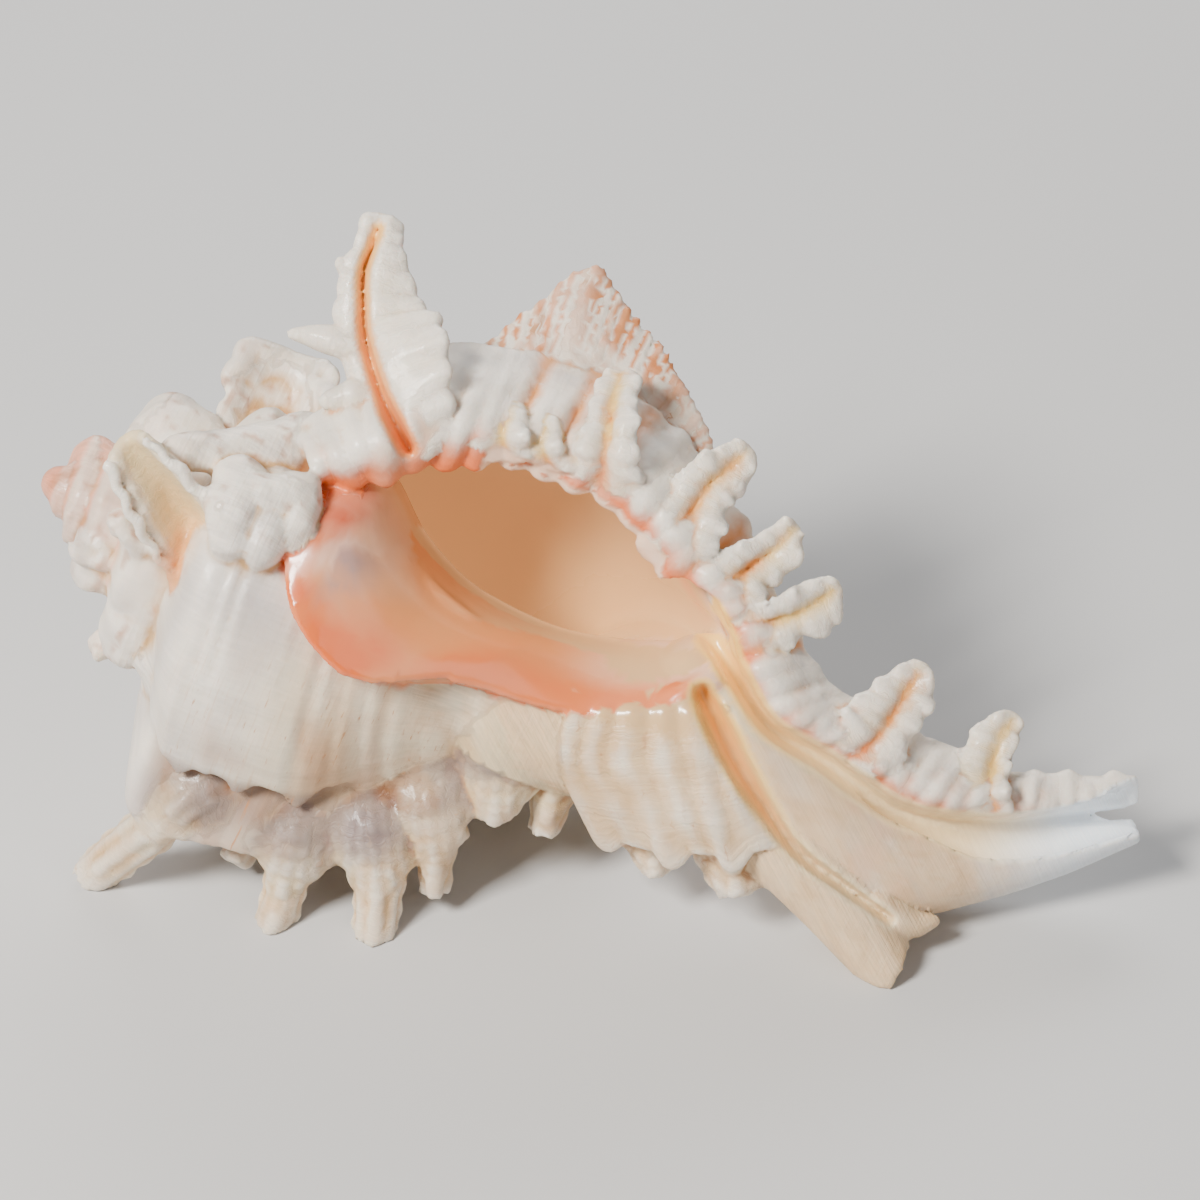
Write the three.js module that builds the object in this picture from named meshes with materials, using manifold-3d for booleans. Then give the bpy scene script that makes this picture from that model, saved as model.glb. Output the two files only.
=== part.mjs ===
// A ramose murex shell: spire, body whorl, open aperture, siphonal canal and the
// leafy fronds of its varices, as one closed solid, because it grew in one piece.
//
// Millimetres. Every point is [along, away, out] in the shell's own axes: along runs down
// the coiling axis from the apex to the canal, out points to the outer lip's side, and away
// points to the side that the aperture turns its back on. The outermost group tips those
// axes into the resting pose: +Z up, origin under the middle, standing on worn frond tips.
import * as THREE from "three";
import { LoftGeometry } from "three/addons/geometries/LoftGeometry.js";
import { mergeVertices } from "three/addons/utils/BufferGeometryUtils.js";
import Module from "manifold-3d";

const wasm = await Module();
wasm.setup();

// Driving dimensions
const WHORL_GROWTH = 1.6; // size ratio from one turn to the next
const LIP_AZIMUTH = -30; // degrees, where the outer lip stands round the axis
const POLE = -2.5; // where along the axis the coil winds down to
const WALL = 3.2; // thickness of the body whorl's wall
const LIP_FLARE_ANGLE = 60; // degrees over which the last whorl opens out to the lip
const AXIS_TILT = 25; // degrees, canal end down, in the resting pose
const FACE_TILT = 38; // degrees that the aperture's face leans back in the resting pose
const FLOOR_DROP = 57.2; // height of the apex above the floor
const ORIGIN_X = 87.245; // the resting pose's origin, measured from the apex
const ORIGIN_Y = -11.207;

// Each varix's age, in degrees before the lip, and the share of the radius it stands proud
const VARICES = [
  [120, 0.14], [215, 0.38], [325, 0.1], [415, 0.14],
  [540, 0.12], [655, 0.14], [755, 0.14], [870, 0.12], [980, 0.12],
];
const VARIX_HALF_WIDTH = 10; // degrees

// The whorl's outline in a half plane through the axis, [along, radius], at the lip's size.
// EARLY_OUTLINE repeats itself up the spire, and LIP_OUTLINE is the flared last quarter turn.
const EARLY_OUTLINE = [
  [37.5, 24], [41, 32], [45.5, 40], [54, 41.5], [64, 40.5], [76, 38],
  [88, 32], [99, 24.5], [110, 17], [120, 11], [130, 4],
];
const LIP_OUTLINE = [
  [37.5, 25], [41, 34], [45.5, 41], [54, 43], [64, 44.5], [77, 44.5],
  [88, 41], [98.5, 37], [110, 31], [119, 24], [128, 10],
];
// Growth angles, in degrees before the lip, at which one lofted stretch meets the next
const STRETCH_ENDS = [0, -180, -350, -600, -870, -1140, -1410, -1620, -1800];
const YOUNG_STEP = 14; // degrees between whorl sections on the last turn, and before it
const OLD_STEP = 30;
const AXIS_GAP = 1.5; // radius where each whorl section stops short of the axis
// The core that closes the whorls' middle, [along, radius], and the ball that the spire ends in
const CORE = [[0, 0], [1, 0.94], [126, 5.9], [126, 0]];
const FIRST_WHORL = 2.2;

// The aperture's section: its inner wall, [along, radius], from the rear corner to the canal,
// and how far along its outer wall's points lie. Deep inside it is shorter than at the lip.
const LIP_INNER = [
  [47.5, 28], [54, 20.5], [63, 15.6], [75, 12.6], [88, 12.4], [100, 14.5], [112, 18],
];
const LIP_OUTER_ALONG = [49, 54, 63, 76, 88, 99, 109, 116];
const DEEP_INNER = [
  [47.5, 29], [53, 22], [60, 16.4], [69, 13.4], [78, 12.2], [86, 12.2], [93, 13],
];
const DEEP_OUTER_ALONG = [49, 53.5, 60, 68, 77, 85, 92, 97];
const APERTURE_MIDDLE = [78, 27];
const APERTURE_DEPTH = 250; // degrees that the cavity runs back into the whorl
const APERTURE_BEYOND = 14; // degrees that it runs past the lip, so that the mouth is cut open
const CAVITY_SECTIONS = 22;
const CLOSING_SECTIONS = 3; // the last of them, which round the cavity's end
const CLOSED_SHARE = 0.1; // the end section's size against a full one

// Directions that limbs face: the way the lip grows, the viewer and the feet
const TO_MOUTH = [0, -0.87, -0.5];
const TO_VIEW = [0, -1, 0];
const TO_FOOT = [0.3, -0.3, -0.9];

// Limbs, from root to tip: each row is a point, then the half width and half depth there.
// These are the hollow fronds of the outer lip.
const LIP_FRONDS = [
  [[50, -19, 29, 11.5, 4.5], [42, -20, 42, 7.8, 3.4], [33, -18, 59.5, 3, 2]],
  [[46, -18, 30, 7.5, 4], [36, -17, 38, 5.5, 3], [27, -16, 41.5, 2, 1.6]],
  [[64, -18, 33, 5, 3], [66, -16, 40, 4, 2], [67, -15, 45, 2, 1.2]],
  [[80, -18, 34, 6, 3], [79, -17, 42, 4, 2.4], [78, -16, 49, 2, 1.4]],
  [[94, -17, 31, 6.5, 3.4], [97, -18, 42, 4.6, 2.6], [98.5, -19, 52, 2, 1.3]],
  [[105, -17, 26, 5, 3], [109, -17, 36, 3.8, 2.4], [111, -17.5, 44.5, 1.8, 1.2]],
  [[111, -16, 22, 5, 3], [117, -16, 30, 3.6, 2.3], [122, -16, 37, 1.8, 1.2]],
  [[131, -12, 15, 6, 3.4], [136, -11, 23, 4, 2.6], [138.5, -11, 32, 1.8, 1.3]],
  [[152, -6, 14.5, 6.5, 3.2], [154.5, -6, 22, 3.8, 2.4], [155.5, -5.6, 31, 1.8, 1.2]],
];
const GROOVED = 0.45; // the groove's share of a frond's width
const GROOVE_FORWARD = 0.95; // how far the groove lies in front, as a share of the half depth
const GROOVE_DEPTH = 0.8;

// Fronds of the varix that the shell leans on in front, whose backs are seen
const FRONT_FOOT_FRONDS = [
  [[41, 1, -28, 7.5, 5], [38, 6, -44, 4.5, 3.4], [31.4, 11.7, -56.2, 3, 2.4]],
  [[52, 6, -30, 4, 3], [53, 7, -38, 3, 2.4], [52.2, 7, -44, 1.8, 1.6]],
  [[59, -2, -28, 7, 4.5], [61, 0, -40, 4, 3], [62.5, 2.4, -51, 2.8, 2]],
  [[70, -4, -22, 6.5, 4.5], [75, -2, -34, 4, 3], [78.8, 0, -45, 2.8, 2]],
  [[76, -4, -16, 6, 4.5], [81, 0, -26, 3.6, 3], [84.8, 3.2, -33.6, 2, 1.6]],
  [[93, -4, -4, 5.5, 5], [94.5, -1, -12, 4, 3], [95.9, 1.6, -18.5, 2, 1.6]],
  [[105, -4, 2, 7.5, 6], [109, -2, -7, 5, 4], [113, 0, -14.5, 4, 3], [115.1, 0, -17.5, 1.4, 1.4]],
  [[115, -6, 5, 9, 6], [122, -5, -4, 7, 3.4], [128.4, -3.2, -13.5, 3, 2]],
];

// The crest and the knobs along the top of the spire, and the scoop on the shoulder in front
const TOP_KNOBS = [
  [[33, 7, 13, 10.5, 8], [29, 8.5, 24, 9, 5.5], [26, 9.5, 35, 7.2, 2.6]],
  [[17, 1, 8, 8, 7], [15.5, 2, 15, 7.5, 6], [14, 3, 21, 5, 4]],
  [[6.5, 0, 3, 4.5, 4], [6, 0, 6.5, 4, 3.4], [5.5, 0, 9.5, 2.4, 2]],
];
const SHOULDER_FROND = [[29, -15, -1, 7, 5.5], [21, -21.5, 5, 5.5, 4.5], [12.8, -28.5, 10.5, 3, 2.2]];

// Fronds of the varices that the photograph hides: [along at the root, along at the tip,
// radius of the tip, half width], all at the lip's size
const BACK_VARIX_AGE = 120;
const BACK_FRONDS = [
  [48, 39, 68, 8], [60, 58, 53, 5], [71, 75, 63.5, 7.5], [83, 87, 49, 5],
  [92, 100, 51, 7], [102, 110, 39, 5], [112, 121, 37, 6],
];
const SPIRE_VARIX_AGES = [540, 655, 870, 980];
const SPIRE_KNOBS = [[47, 38, 51, 8], [57, 55, 48, 6]];
const FROND_ROOT = 0.86; // where a frond starts, as a share of the whorl's radius there
const FROND_LEAN = [0, -1, -5]; // degrees that its three points lie back towards older growth
const FROND_WIDTHS = [1, 0.65, 0.36]; // half widths and half depths, as shares of the root's
const FROND_DEPTHS = [0.62, 0.44, 0.3];

// The siphonal canal and, beside it, the stub of the canal before it
const CANAL = [
  [104, -8, 18, 11, 12], [117, -7, 9, 11.5, 10.5], [133, -5, 3.5, 11, 9], [147, -2.5, 1.5, 9.8, 8],
  [159, 0, 6.5, 7.8, 6], [169.5, 0.5, 14.5, 5.6, 4.5], [180.5, 0, 26, 2.8, 2.2],
];
const OLD_CANAL = [
  [84, -5, -1, 12, 11], [102, -6, 2, 12, 11], [118, -7, 3, 10, 9],
  [137, -7.5, -5, 7, 7], [156, -7, -14.5, 4.6, 4.4],
];
// The slit that opens the canal's whole length, from inside the aperture to past the tip
const CANAL_SLIT = [
  [95, -10, 26, 6, 10], [102, -15, 24.5, 5, 11], [108, -18, 21.4, 3.3, 11], [120, -17, 14, 1.7, 8],
  [133, -13.5, 11.7, 1.5, 7], [146, -9, 9.9, 1.5, 6], [160, -6, 13.6, 1.6, 5],
  [172, -3.5, 19.8, 1.8, 4], [183, -1.5, 27, 1.8, 2.6],
];
// The groove between the canal and the stub, and the pillar that the whorls turn about
const GROOVE = [
  [109, -19, 12, 3.4, 7], [120, -17, 5.5, 3, 6], [134, -15, -1, 2, 4.5], [148, -12.5, -5.5, 0.9, 2],
];
const COLUMELLA = [
  [44, -6, 4, 14, 15], [60, -6, 4, 15, 15], [78, -4, 3, 14, 13], [94, -4, 4, 12, 12], [108, -7, 9, 11, 11],
];

// The glossy shield of callus over the body whorl, from the rear corner to the canal: each
// row runs from its rim on the body to the rounded edge that it turns into the aperture.
const CALLUS = [
  [[40, -21.5, 16.5], [42, -22, 18.5], [44, -21, 20.5], [46, -18, 22.5], [48, -12, 24]],
  [[41.5, -27.6, 7], [45, -28.2, 11], [48.5, -26, 15.5], [50.5, -20.5, 19.5], [51.5, -10, 23]],
  [[47, -30, -1.5], [51, -28.6, 4.5], [54.5, -25, 10], [57, -18, 14.2], [58.5, -6, 17.5]],
  [[56, -28.6, -6.2], [60, -26.5, 0], [63, -22.5, 6], [66, -16, 10.4], [67.5, -5, 13.6]],
  [[63, -26.5, -5], [67, -24, 0.5], [71, -20, 6], [74, -14, 9.8], [76, -4, 12.6]],
  [[71, -23, -1], [75, -21, 3], [79, -17.5, 7.5], [82, -12.5, 10.6], [84.5, -4, 12.9]],
  [[80, -19.6, 0.5], [84, -18, 4], [88, -15, 8], [91, -11, 12], [93, -5, 15]],
  [[90, -17.6, 2.6], [93, -16.6, 5.5], [96, -14.5, 9.4], [99, -11.5, 14], [101, -8, 18]],
  [[99, -16.6, 5.6], [101, -16.6, 8.5], [103.5, -15.6, 12.4], [105.5, -14, 16.5], [107, -11, 20]],
  [[104, -17, 10], [105, -17.4, 12], [106.5, -17.4, 14.5], [108, -17, 17], [109, -16, 20]],
];
// The callus's hidden side: which of a row's points each of its points lies behind, and
// how far along, away and out from it
const CALLUS_BACK = [[4, [0, 8, -4]], [2, [-1, 8, -1]], [0, [-2, 8, 2]]];

// The frilled collar outside the aperture's outer margin, from the rear corner down the canal:
// each row is a point of the margin, the collar's outer edge beside it and its root behind.
const COLLAR = [
  [[42, -23.5, 19.5], [35.5, -19, 24], [41, -16, 21]],
  [[50, -23.5, 23], [40, -20, 34], [48, -16, 31]],
  [[54, -22.2, 28.5], [50, -16, 45], [53, -13.5, 40]],
  [[58.5, -21.3, 29.8], [57, -13, 48.5], [58, -12, 42]],
  [[64.6, -20.5, 33.4], [64, -11, 50], [64, -11.5, 43]],
  [[74.3, -20, 34.6], [75, -10, 51.5], [75, -11, 43.5]],
  [[81, -19.5, 35], [84, -11, 50], [83, -11.5, 42.5]],
  [[88.5, -19, 33], [93, -12, 46.5], [91, -12, 39]],
  [[95.7, -18.4, 28.5], [102, -13, 41], [99, -12, 34]],
  [[101.6, -17.6, 27.5], [109, -13.5, 35], [105.5, -11.5, 30]],
  [[108.2, -16.8, 25], [116, -13, 29.5], [111, -9, 24]],
  [[114.7, -16, 18.5], [122.5, -12, 24.5], [117, -6, 17]],
  [[120.2, -14.4, 14.5], [129, -10.5, 22.5], [123, -4, 13]],
  [[130.9, -12, 14.2], [136.5, -9, 22], [132, -2, 11.5]],
  [[140.9, -9.6, 12.2], [143.5, -7.5, 21.5], [141.5, -0.5, 10]],
  [[147, -8, 11.8], [149.5, -6.5, 21.5], [148, 0.5, 9.5]],
  [[153, -6.5, 13.4], [155, -5.5, 21.5], [154, 1, 11]],
  [[160.4, -4.8, 16.2], [160, -4.5, 22.5], [160, 1.5, 14]],
  [[172.5, -2.4, 22.8], [170.5, -2, 27], [171.5, 1.5, 20]],
  [[180, -0.8, 27], [177.8, -0.8, 30.5], [178.5, 1, 27.5]],
];
const COLLAR_BACK = [0, 4.5, -1]; // the edge's far side, from its near side
// The face between margin and edge: shares of the way across, and how far it bulges there
// towards the viewer as a share of its width
const COLLAR_BULGES = [[0.3, 0.3], [0.65, 0.22]];

// The broad ribbed blade behind the outer lip, [along, out], and the places of its two faces
const FAN = [
  [52, 44], [55, 48.5], [59, 57], [63.5, 66.5], [67, 67.5], [73, 63.5], [80, 61],
  [84, 57.5], [88, 55], [93, 50.5], [96, 45], [88, 36], [74, 38], [60, 38],
];
const FAN_FACES = [-9.5, -6];

const FLOOR_SIZE = 400; // the block that wears the feet flat
const FLOOR_THICKNESS = 40;

const radians = THREE.MathUtils.degToRad;

function sizeAt(growth) {
  return WHORL_GROWTH ** (growth / 360);
}

function flareAt(growth) {
  return Math.exp(growth / LIP_FLARE_ANGLE);
}

// Cylindrical place about the axis: azimuth 0 is out, 90 is away.
function around(along, radius, azimuth) {
  const a = radians(azimuth);
  return new THREE.Vector3(along, radius * Math.sin(a), radius * Math.cos(a));
}

// The place of an outline's point on the whorl that is as old as growth tells.
function grown(along, radius, growth) {
  const size = sizeAt(growth);
  return around(along * size + POLE * (1 - size), radius * size, LIP_AZIMUTH - growth);
}

function swellAt(growth) {
  const proud = ([age, share]) => share * Math.max(0, 1 - Math.abs(growth + age) / VARIX_HALF_WIDTH);
  return 1 + Math.max(...VARICES.map(proud));
}

function between(early, late, share) {
  return early.map((value, i) =>
    Array.isArray(value) ? between(value, late[i], share) : THREE.MathUtils.lerp(value, late[i], share),
  );
}

function outlineAt(growth) {
  return between(EARLY_OUTLINE, LIP_OUTLINE, flareAt(growth));
}

function radiusOn(outline, along) {
  const i = outline.findIndex(([a]) => a >= along);
  const [a0, r0] = outline[i - 1];
  const [a1, r1] = outline[i];
  return THREE.MathUtils.lerp(r0, r1, (along - a0) / (a1 - a0));
}

// A closed solid from rings of points, whichever way round the rings run.
function loft(rings) {
  const forward = middleOf(rings[1]).sub(middleOf(rings[0]));
  const turned = normalOf(rings[0]).dot(forward) < 0;
  const sections = turned ? rings.map((ring) => [...ring].reverse()) : rings;
  return solidOf(new LoftGeometry(sections, { capStart: true, capEnd: true }));
}

function middleOf(ring) {
  return ring.reduce((sum, p) => sum.add(p), new THREE.Vector3()).divideScalar(ring.length);
}

function normalOf(ring) {
  const middle = middleOf(ring);
  const normal = new THREE.Vector3();
  ring.forEach((p, i) => {
    const next = ring[(i + 1) % ring.length];
    normal.add(p.clone().sub(middle).cross(next.clone().sub(middle)));
  });
  return normal;
}

// A manifold solid of a closed three.js geometry, with its doubled vertices merged.
function solidOf(geometry) {
  geometry.deleteAttribute("normal");
  geometry.deleteAttribute("uv");
  const merged = mergeVertices(new THREE.BufferGeometry().copy(geometry), 1e-4);
  const triVerts = new Uint32Array(merged.index.array);
  const vertProperties = merged.attributes.position.array;
  return new wasm.Manifold(new wasm.Mesh({ numProp: 3, vertProperties, triVerts }));
}

function join(solids) {
  return solids.reduce((all, one) => all.add(one));
}

// Evenly spaced values from first to last, both included.
function steps(first, last, count) {
  return Array.from({ length: count + 1 }, (_, i) => first + ((last - first) * i) / count);
}

// Growth angles from first to last, no further apart than step, that meet every varix.
function growthsAcross(first, last, step) {
  const marks = VARICES.flatMap(([age]) => [-1, 0, 1].map((side) => side * VARIX_HALF_WIDTH - age));
  const inside = marks.filter((growth) => growth > first && growth < last).sort((a, b) => a - b);
  const ends = [first, ...inside, last];
  const spans = ends.slice(1).map((end, i) => steps(ends[i], end, Math.ceil((end - ends[i]) / step)));
  return [first, ...spans.flatMap((span) => span.slice(1))];
}

// One stretch of whorl, from one growth angle to a later one, filled in to the axis.
function whorlStretch(first, last, step) {
  return loft(
    growthsAcross(first, last, step).map((growth) => {
      const outline = outlineAt(growth);
      const swell = swellAt(growth);
      const ring = outline.map(([along, radius], i) => {
        const proud = i > 0 && i < outline.length - 1 ? swell : 1;
        return grown(along, radius * proud, growth);
      });
      const ends = [outline[outline.length - 1][0], outline[0][0]];
      return [...ring, ...ends.map((along) => grown(along, AXIS_GAP, growth))];
    }),
  );
}

// The coil in stretches of less than a turn, each overlapping the next by a degree.
function whorls() {
  return join(
    STRETCH_ENDS.slice(1).map((first, i) => {
      const last = STRETCH_ENDS[i];
      return whorlStretch(first, last + (i ? 1 : 0), last > -350 ? YOUNG_STEP : OLD_STEP);
    }),
  );
}

function core() {
  const lathe = new THREE.LatheGeometry(CORE.map(([along, r]) => new THREE.Vector2(r, along)), 12);
  lathe.rotateZ(radians(-90)); // the lathe's axis turns from +Y to along
  const first = new THREE.SphereGeometry(FIRST_WHORL, 10, 6);
  first.translate(FIRST_WHORL - 1, 0, 0);
  return solidOf(lathe).add(solidOf(first));
}

// The hollow of the aperture, following the whorl back and closing to a rounded end.
function cavity() {
  const growths = steps(APERTURE_BEYOND, -APERTURE_DEPTH, CAVITY_SECTIONS);
  const [along, radius] = APERTURE_MIDDLE;
  return loft(
    growths.map((growth, i) => {
      const flare = flareAt(Math.min(growth, 0));
      const outline = outlineAt(Math.min(growth, 0));
      const inner = between(DEEP_INNER, LIP_INNER, flare);
      const places = between(DEEP_OUTER_ALONG, LIP_OUTER_ALONG, flare);
      const outer = places.map((a) => [a, radiusOn(outline, a) - WALL]);
      const section = [...inner, ...outer.reverse()];
      const left = Math.min(1, (CAVITY_SECTIONS - i) / CLOSING_SECTIONS);
      const close = THREE.MathUtils.lerp(CLOSED_SHARE, 1, Math.sqrt(1 - (1 - left) ** 2));
      return section.map(([a, r]) =>
        grown(along + (a - along) * close, radius + (r - radius) * close, growth),
      );
    }),
  );
}

function valueAlong(values, t) {
  const place = t * (values.length - 1);
  const i = Math.min(Math.floor(place), values.length - 2);
  return THREE.MathUtils.lerp(values[i], values[i + 1], place - i);
}

// A tapering limb along rows of [along, away, out, half width, half depth], with an
// elliptical section. The depth is measured towards facing.
function limb(rows, facing, sides = 7, count = 4) {
  const path = new THREE.CatmullRomCurve3(rows.map((row) => new THREE.Vector3(...row)));
  const front = new THREE.Vector3(...facing).normalize();
  const widths = rows.map((row) => row[3]);
  const depths = rows.map((row) => row[4]);
  return loft(
    steps(0, 1, count).map((t) => {
      const at = path.getPoint(t);
      const side = path.getTangent(t).cross(front).normalize();
      const up = side.clone().cross(path.getTangent(t)).normalize();
      return Array.from({ length: sides }, (_, k) => {
        const turn = (2 * Math.PI * (k + 0.5)) / sides;
        return at
          .clone()
          .addScaledVector(side, valueAlong(widths, t) * Math.cos(turn))
          .addScaledVector(up, valueAlong(depths, t) * Math.sin(turn));
      });
    }),
  );
}

// A lip frond, with the trough down its front that is open towards the mouth.
function lipFrond(rows) {
  const front = new THREE.Vector3(...TO_MOUTH).normalize();
  const trough = rows.map(([along, away, out, width, depth]) => {
    const middle = new THREE.Vector3(along, away, out).addScaledVector(front, depth * GROOVE_FORWARD);
    return [...middle.toArray(), width * GROOVED, depth * GROOVE_DEPTH];
  });
  return limb(rows, TO_MOUTH).subtract(limb(trough, TO_MOUTH, 5, 3));
}

// The fronds of a varix of that age, which curve back towards older growth.
function varixFronds(age, fronds) {
  const facing = around(0, 1, LIP_AZIMUTH + age - 90).toArray();
  return fronds.map(([along, end, reach, halfWidth]) => {
    const root = radiusOn(outlineAt(-age), along) * FROND_ROOT;
    const half = halfWidth * sizeAt(-age);
    const rows = [0, 0.4, 1].map((share, i) => {
      const tipward = i ? 0.2 + 0.4 * i : 0; // the radius runs ahead of the way along
      const radius = i === 2 ? reach : THREE.MathUtils.lerp(root, reach, tipward);
      const at = grown(THREE.MathUtils.lerp(along, end, share), radius, -age + FROND_LEAN[i]);
      return [...at.toArray(), half * FROND_WIDTHS[i], half * FROND_DEPTHS[i]];
    });
    return limb(rows, facing, 6, 3);
  });
}

function fan() {
  return loft(FAN_FACES.map((away) => FAN.map(([along, out]) => new THREE.Vector3(along, away, out))));
}

function callus() {
  return loft(
    CALLUS.map((row) => {
      const face = row.map((p) => new THREE.Vector3(...p));
      const hidden = CALLUS_BACK.map(([i, shift]) => face[i].clone().add(new THREE.Vector3(...shift)));
      return [...face, ...hidden];
    }),
  );
}

function collar() {
  return loft(
    COLLAR.map((row) => {
      const [margin, edge, root] = row.map((p) => new THREE.Vector3(...p));
      const width = margin.distanceTo(edge);
      const face = COLLAR_BULGES.map(([share, bulge]) =>
        margin.clone().lerp(edge, share).addScaledVector(new THREE.Vector3(...TO_VIEW), bulge * width),
      );
      return [margin, ...face, edge, edge.clone().add(new THREE.Vector3(...COLLAR_BACK)), root];
    }),
  );
}

function shell() {
  const spire = SPIRE_VARIX_AGES.flatMap((age) => varixFronds(age, SPIRE_KNOBS));
  const back = varixFronds(BACK_VARIX_AGE, BACK_FRONDS);
  const body = join([whorls(), core(), ...back, ...spire, limb(COLUMELLA, TO_VIEW)]);
  const limbs = [...FRONT_FOOT_FRONDS, ...TOP_KNOBS].map((rows) => limb(rows, TO_VIEW));
  const canals = [CANAL, OLD_CANAL].map((rows) => limb(rows, TO_VIEW, 10, 10));
  const shoulder = limb(SHOULDER_FROND, TO_FOOT);
  const hollow = body.subtract(cavity());
  const whole = join([
    hollow, ...LIP_FRONDS.map(lipFrond), ...limbs, ...canals, shoulder, collar(), fan(), callus(),
  ]);
  return whole.subtract(limb(CANAL_SLIT, TO_VIEW, 6, 16)).subtract(limb(GROOVE, TO_VIEW, 6, 6));
}

// The resting pose
const tilted = new THREE.Group();
tilted.rotation.y = radians(AXIS_TILT);
const rest = new THREE.Group();
rest.rotation.x = radians(-FACE_TILT);
rest.position.set(-ORIGIN_X, -ORIGIN_Y, FLOOR_DROP);
rest.add(tilted);
const murex = new THREE.Group();
murex.add(rest);
murex.updateMatrixWorld(true);

// The floor as a block in the shell's axes
function floor() {
  const block = new THREE.BoxGeometry(FLOOR_SIZE, FLOOR_SIZE, FLOOR_THICKNESS).toNonIndexed();
  block.translate(0, 0, -FLOOR_THICKNESS / 2);
  block.applyMatrix4(tilted.matrixWorld.clone().invert());
  return solidOf(block);
}

function meshOf(solid) {
  const { vertProperties, triVerts } = solid.getMesh();
  const geometry = new THREE.BufferGeometry();
  geometry.setAttribute("position", new THREE.BufferAttribute(vertProperties, 3));
  geometry.setIndex(new THREE.BufferAttribute(triVerts, 1));
  geometry.computeVertexNormals();
  const material = new THREE.MeshStandardMaterial({ color: 0xefe8dd, roughness: 0.45, metalness: 0 });
  const mesh = new THREE.Mesh(geometry, material);
  mesh.name = "shell";
  return mesh;
}

tilted.add(meshOf(shell().subtract(floor())));

export default murex;
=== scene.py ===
# The looks of a branched murex shell that lies on a pale table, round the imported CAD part.
#
# The shell is sculpted as one distance field on a fine grid, in the same axes and on the
# same coil as the CAD part: [along, away, out] in millimetres, where along runs down
# the coiling axis from the apex, out points to the outer lip's side and away points to the
# side that the aperture turns its back on. The field's surface becomes the mesh, and what
# each point of it is (body, callus, frond, groove) becomes attributes that the material reads.
import math

import bpy
import numpy as np
from mathutils import Matrix, Vector, kdtree


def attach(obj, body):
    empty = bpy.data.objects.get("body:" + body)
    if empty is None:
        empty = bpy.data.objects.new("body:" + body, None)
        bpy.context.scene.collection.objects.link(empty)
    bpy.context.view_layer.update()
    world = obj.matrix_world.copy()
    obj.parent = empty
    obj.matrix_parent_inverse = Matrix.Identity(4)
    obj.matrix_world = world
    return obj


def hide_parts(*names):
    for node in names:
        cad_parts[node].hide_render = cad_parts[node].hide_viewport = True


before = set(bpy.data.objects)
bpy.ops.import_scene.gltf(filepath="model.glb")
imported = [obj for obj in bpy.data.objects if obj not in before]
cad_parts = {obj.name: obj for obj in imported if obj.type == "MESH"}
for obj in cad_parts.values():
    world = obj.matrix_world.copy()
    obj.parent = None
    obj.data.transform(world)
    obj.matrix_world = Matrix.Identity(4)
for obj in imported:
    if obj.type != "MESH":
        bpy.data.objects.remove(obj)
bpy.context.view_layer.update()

# Pose of the shell's axes in the row frame, as in the CAD part
AXIS_TILT = 25
FACE_TILT = 38
ORIGIN = (-87.245, 11.207, 57.2)  # the apex, in millimetres

# Camera: looks along the shell's away axis from the photograph's distance
LOOK_AT = (1.075, -0.614, 42.07)
CAMERA_DISTANCE = 683.0
HALF_VIEW = 96.0  # half of the view's width at LOOK_AT

# Whorls. A growth angle is 0 at the lip and falls by 360 with each turn back to the apex.
WHORL_GROWTH = 1.6  # how much larger each turn is than the one before
LIP_AZIMUTH = -30.0
OLDEST_GROWTH = -1800.0
POLE = -2.5  # where along the axis the turns shrink to
WALL = 3.2
LEDGE = -229.0  # growth angle where an old edge of the shell overhangs the last varix
KNOBS_APART = 54.0  # degrees between the shoulder's knobs
LIP_FLARE_ANGLE = 60.0
VARIX_HALF_WIDTH = 10.0
VARICES = [  # age of each in degrees of growth, and how far the whorl swells there
    (120, 0.14), (215, 0.38), (325, 0.1), (415, 0.14),
    (540, 0.12), (655, 0.14), (755, 0.14), (870, 0.12), (980, 0.12),
]
# Outlines of the whorl and of its hollow, at the lip's size: (along, radius)
EARLY_OUTLINE = [
    (37.5, 24), (41, 32), (45.5, 40), (54, 41.5), (64, 40.5), (76, 38),
    (88, 32), (99, 24.5), (110, 17), (120, 11), (130, 4),
]
LIP_OUTLINE = [
    (37.5, 25), (41, 34), (45.5, 41), (54, 43), (64, 44.5), (77, 44.5),
    (88, 41), (98.5, 37), (110, 31), (119, 24), (128, 10),
]
LIP_INNER = [(47.5, 28), (54, 20.5), (63, 15.6), (75, 12.6), (88, 12.4), (100, 14.5), (112, 18)]
LIP_OUTER_ALONG = (49, 116)  # where the hollow's outer wall starts and ends
DEEP_INNER = [(47.5, 29), (53, 22), (60, 16.4), (69, 13.4), (78, 12.2), (86, 12.2), (93, 13)]
DEEP_OUTER_ALONG = (49, 97)
APERTURE_DEPTH = 250.0  # degrees that the hollow runs back from the lip
APERTURE_BEYOND = 14.0  # and on past it
APERTURE_CLOSES = 66.0  # degrees over which the hollow's end rounds off
APERTURE_HALF = 14  # half of the hollow's width there, in millimetres

STEP = 0.6  # millimetres between the grid's points
LOW = np.array([-3.0, -37.0, -60.0])
HIGH = np.array([185.5, 61.0, 70.5])
FAR = 9.0  # what a field says away from its form
MOST_TRIANGLES = 196000
BIG_BALL = 2.6  # millimetres; a form's balls below this size are all much alike
TABLE_START, TABLE_STEP = 15, 0.5  # millimetres along, of the sections' tables
FAN_TEETH = 29
PAINTED_GLOW_STRENGTH = 0.42  # strength of the painted glow, an emission that stands in for light shining through thin and hollow places

TO_MOUTH = (0, -0.87, -0.5)
TO_VIEW = (0, -1, 0)
TO_BACK = (0, 1, 0)
LEAF_CURL = 0.22  # how far a leaf's sides curl back, as a share of their width


# Small helpers

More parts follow.
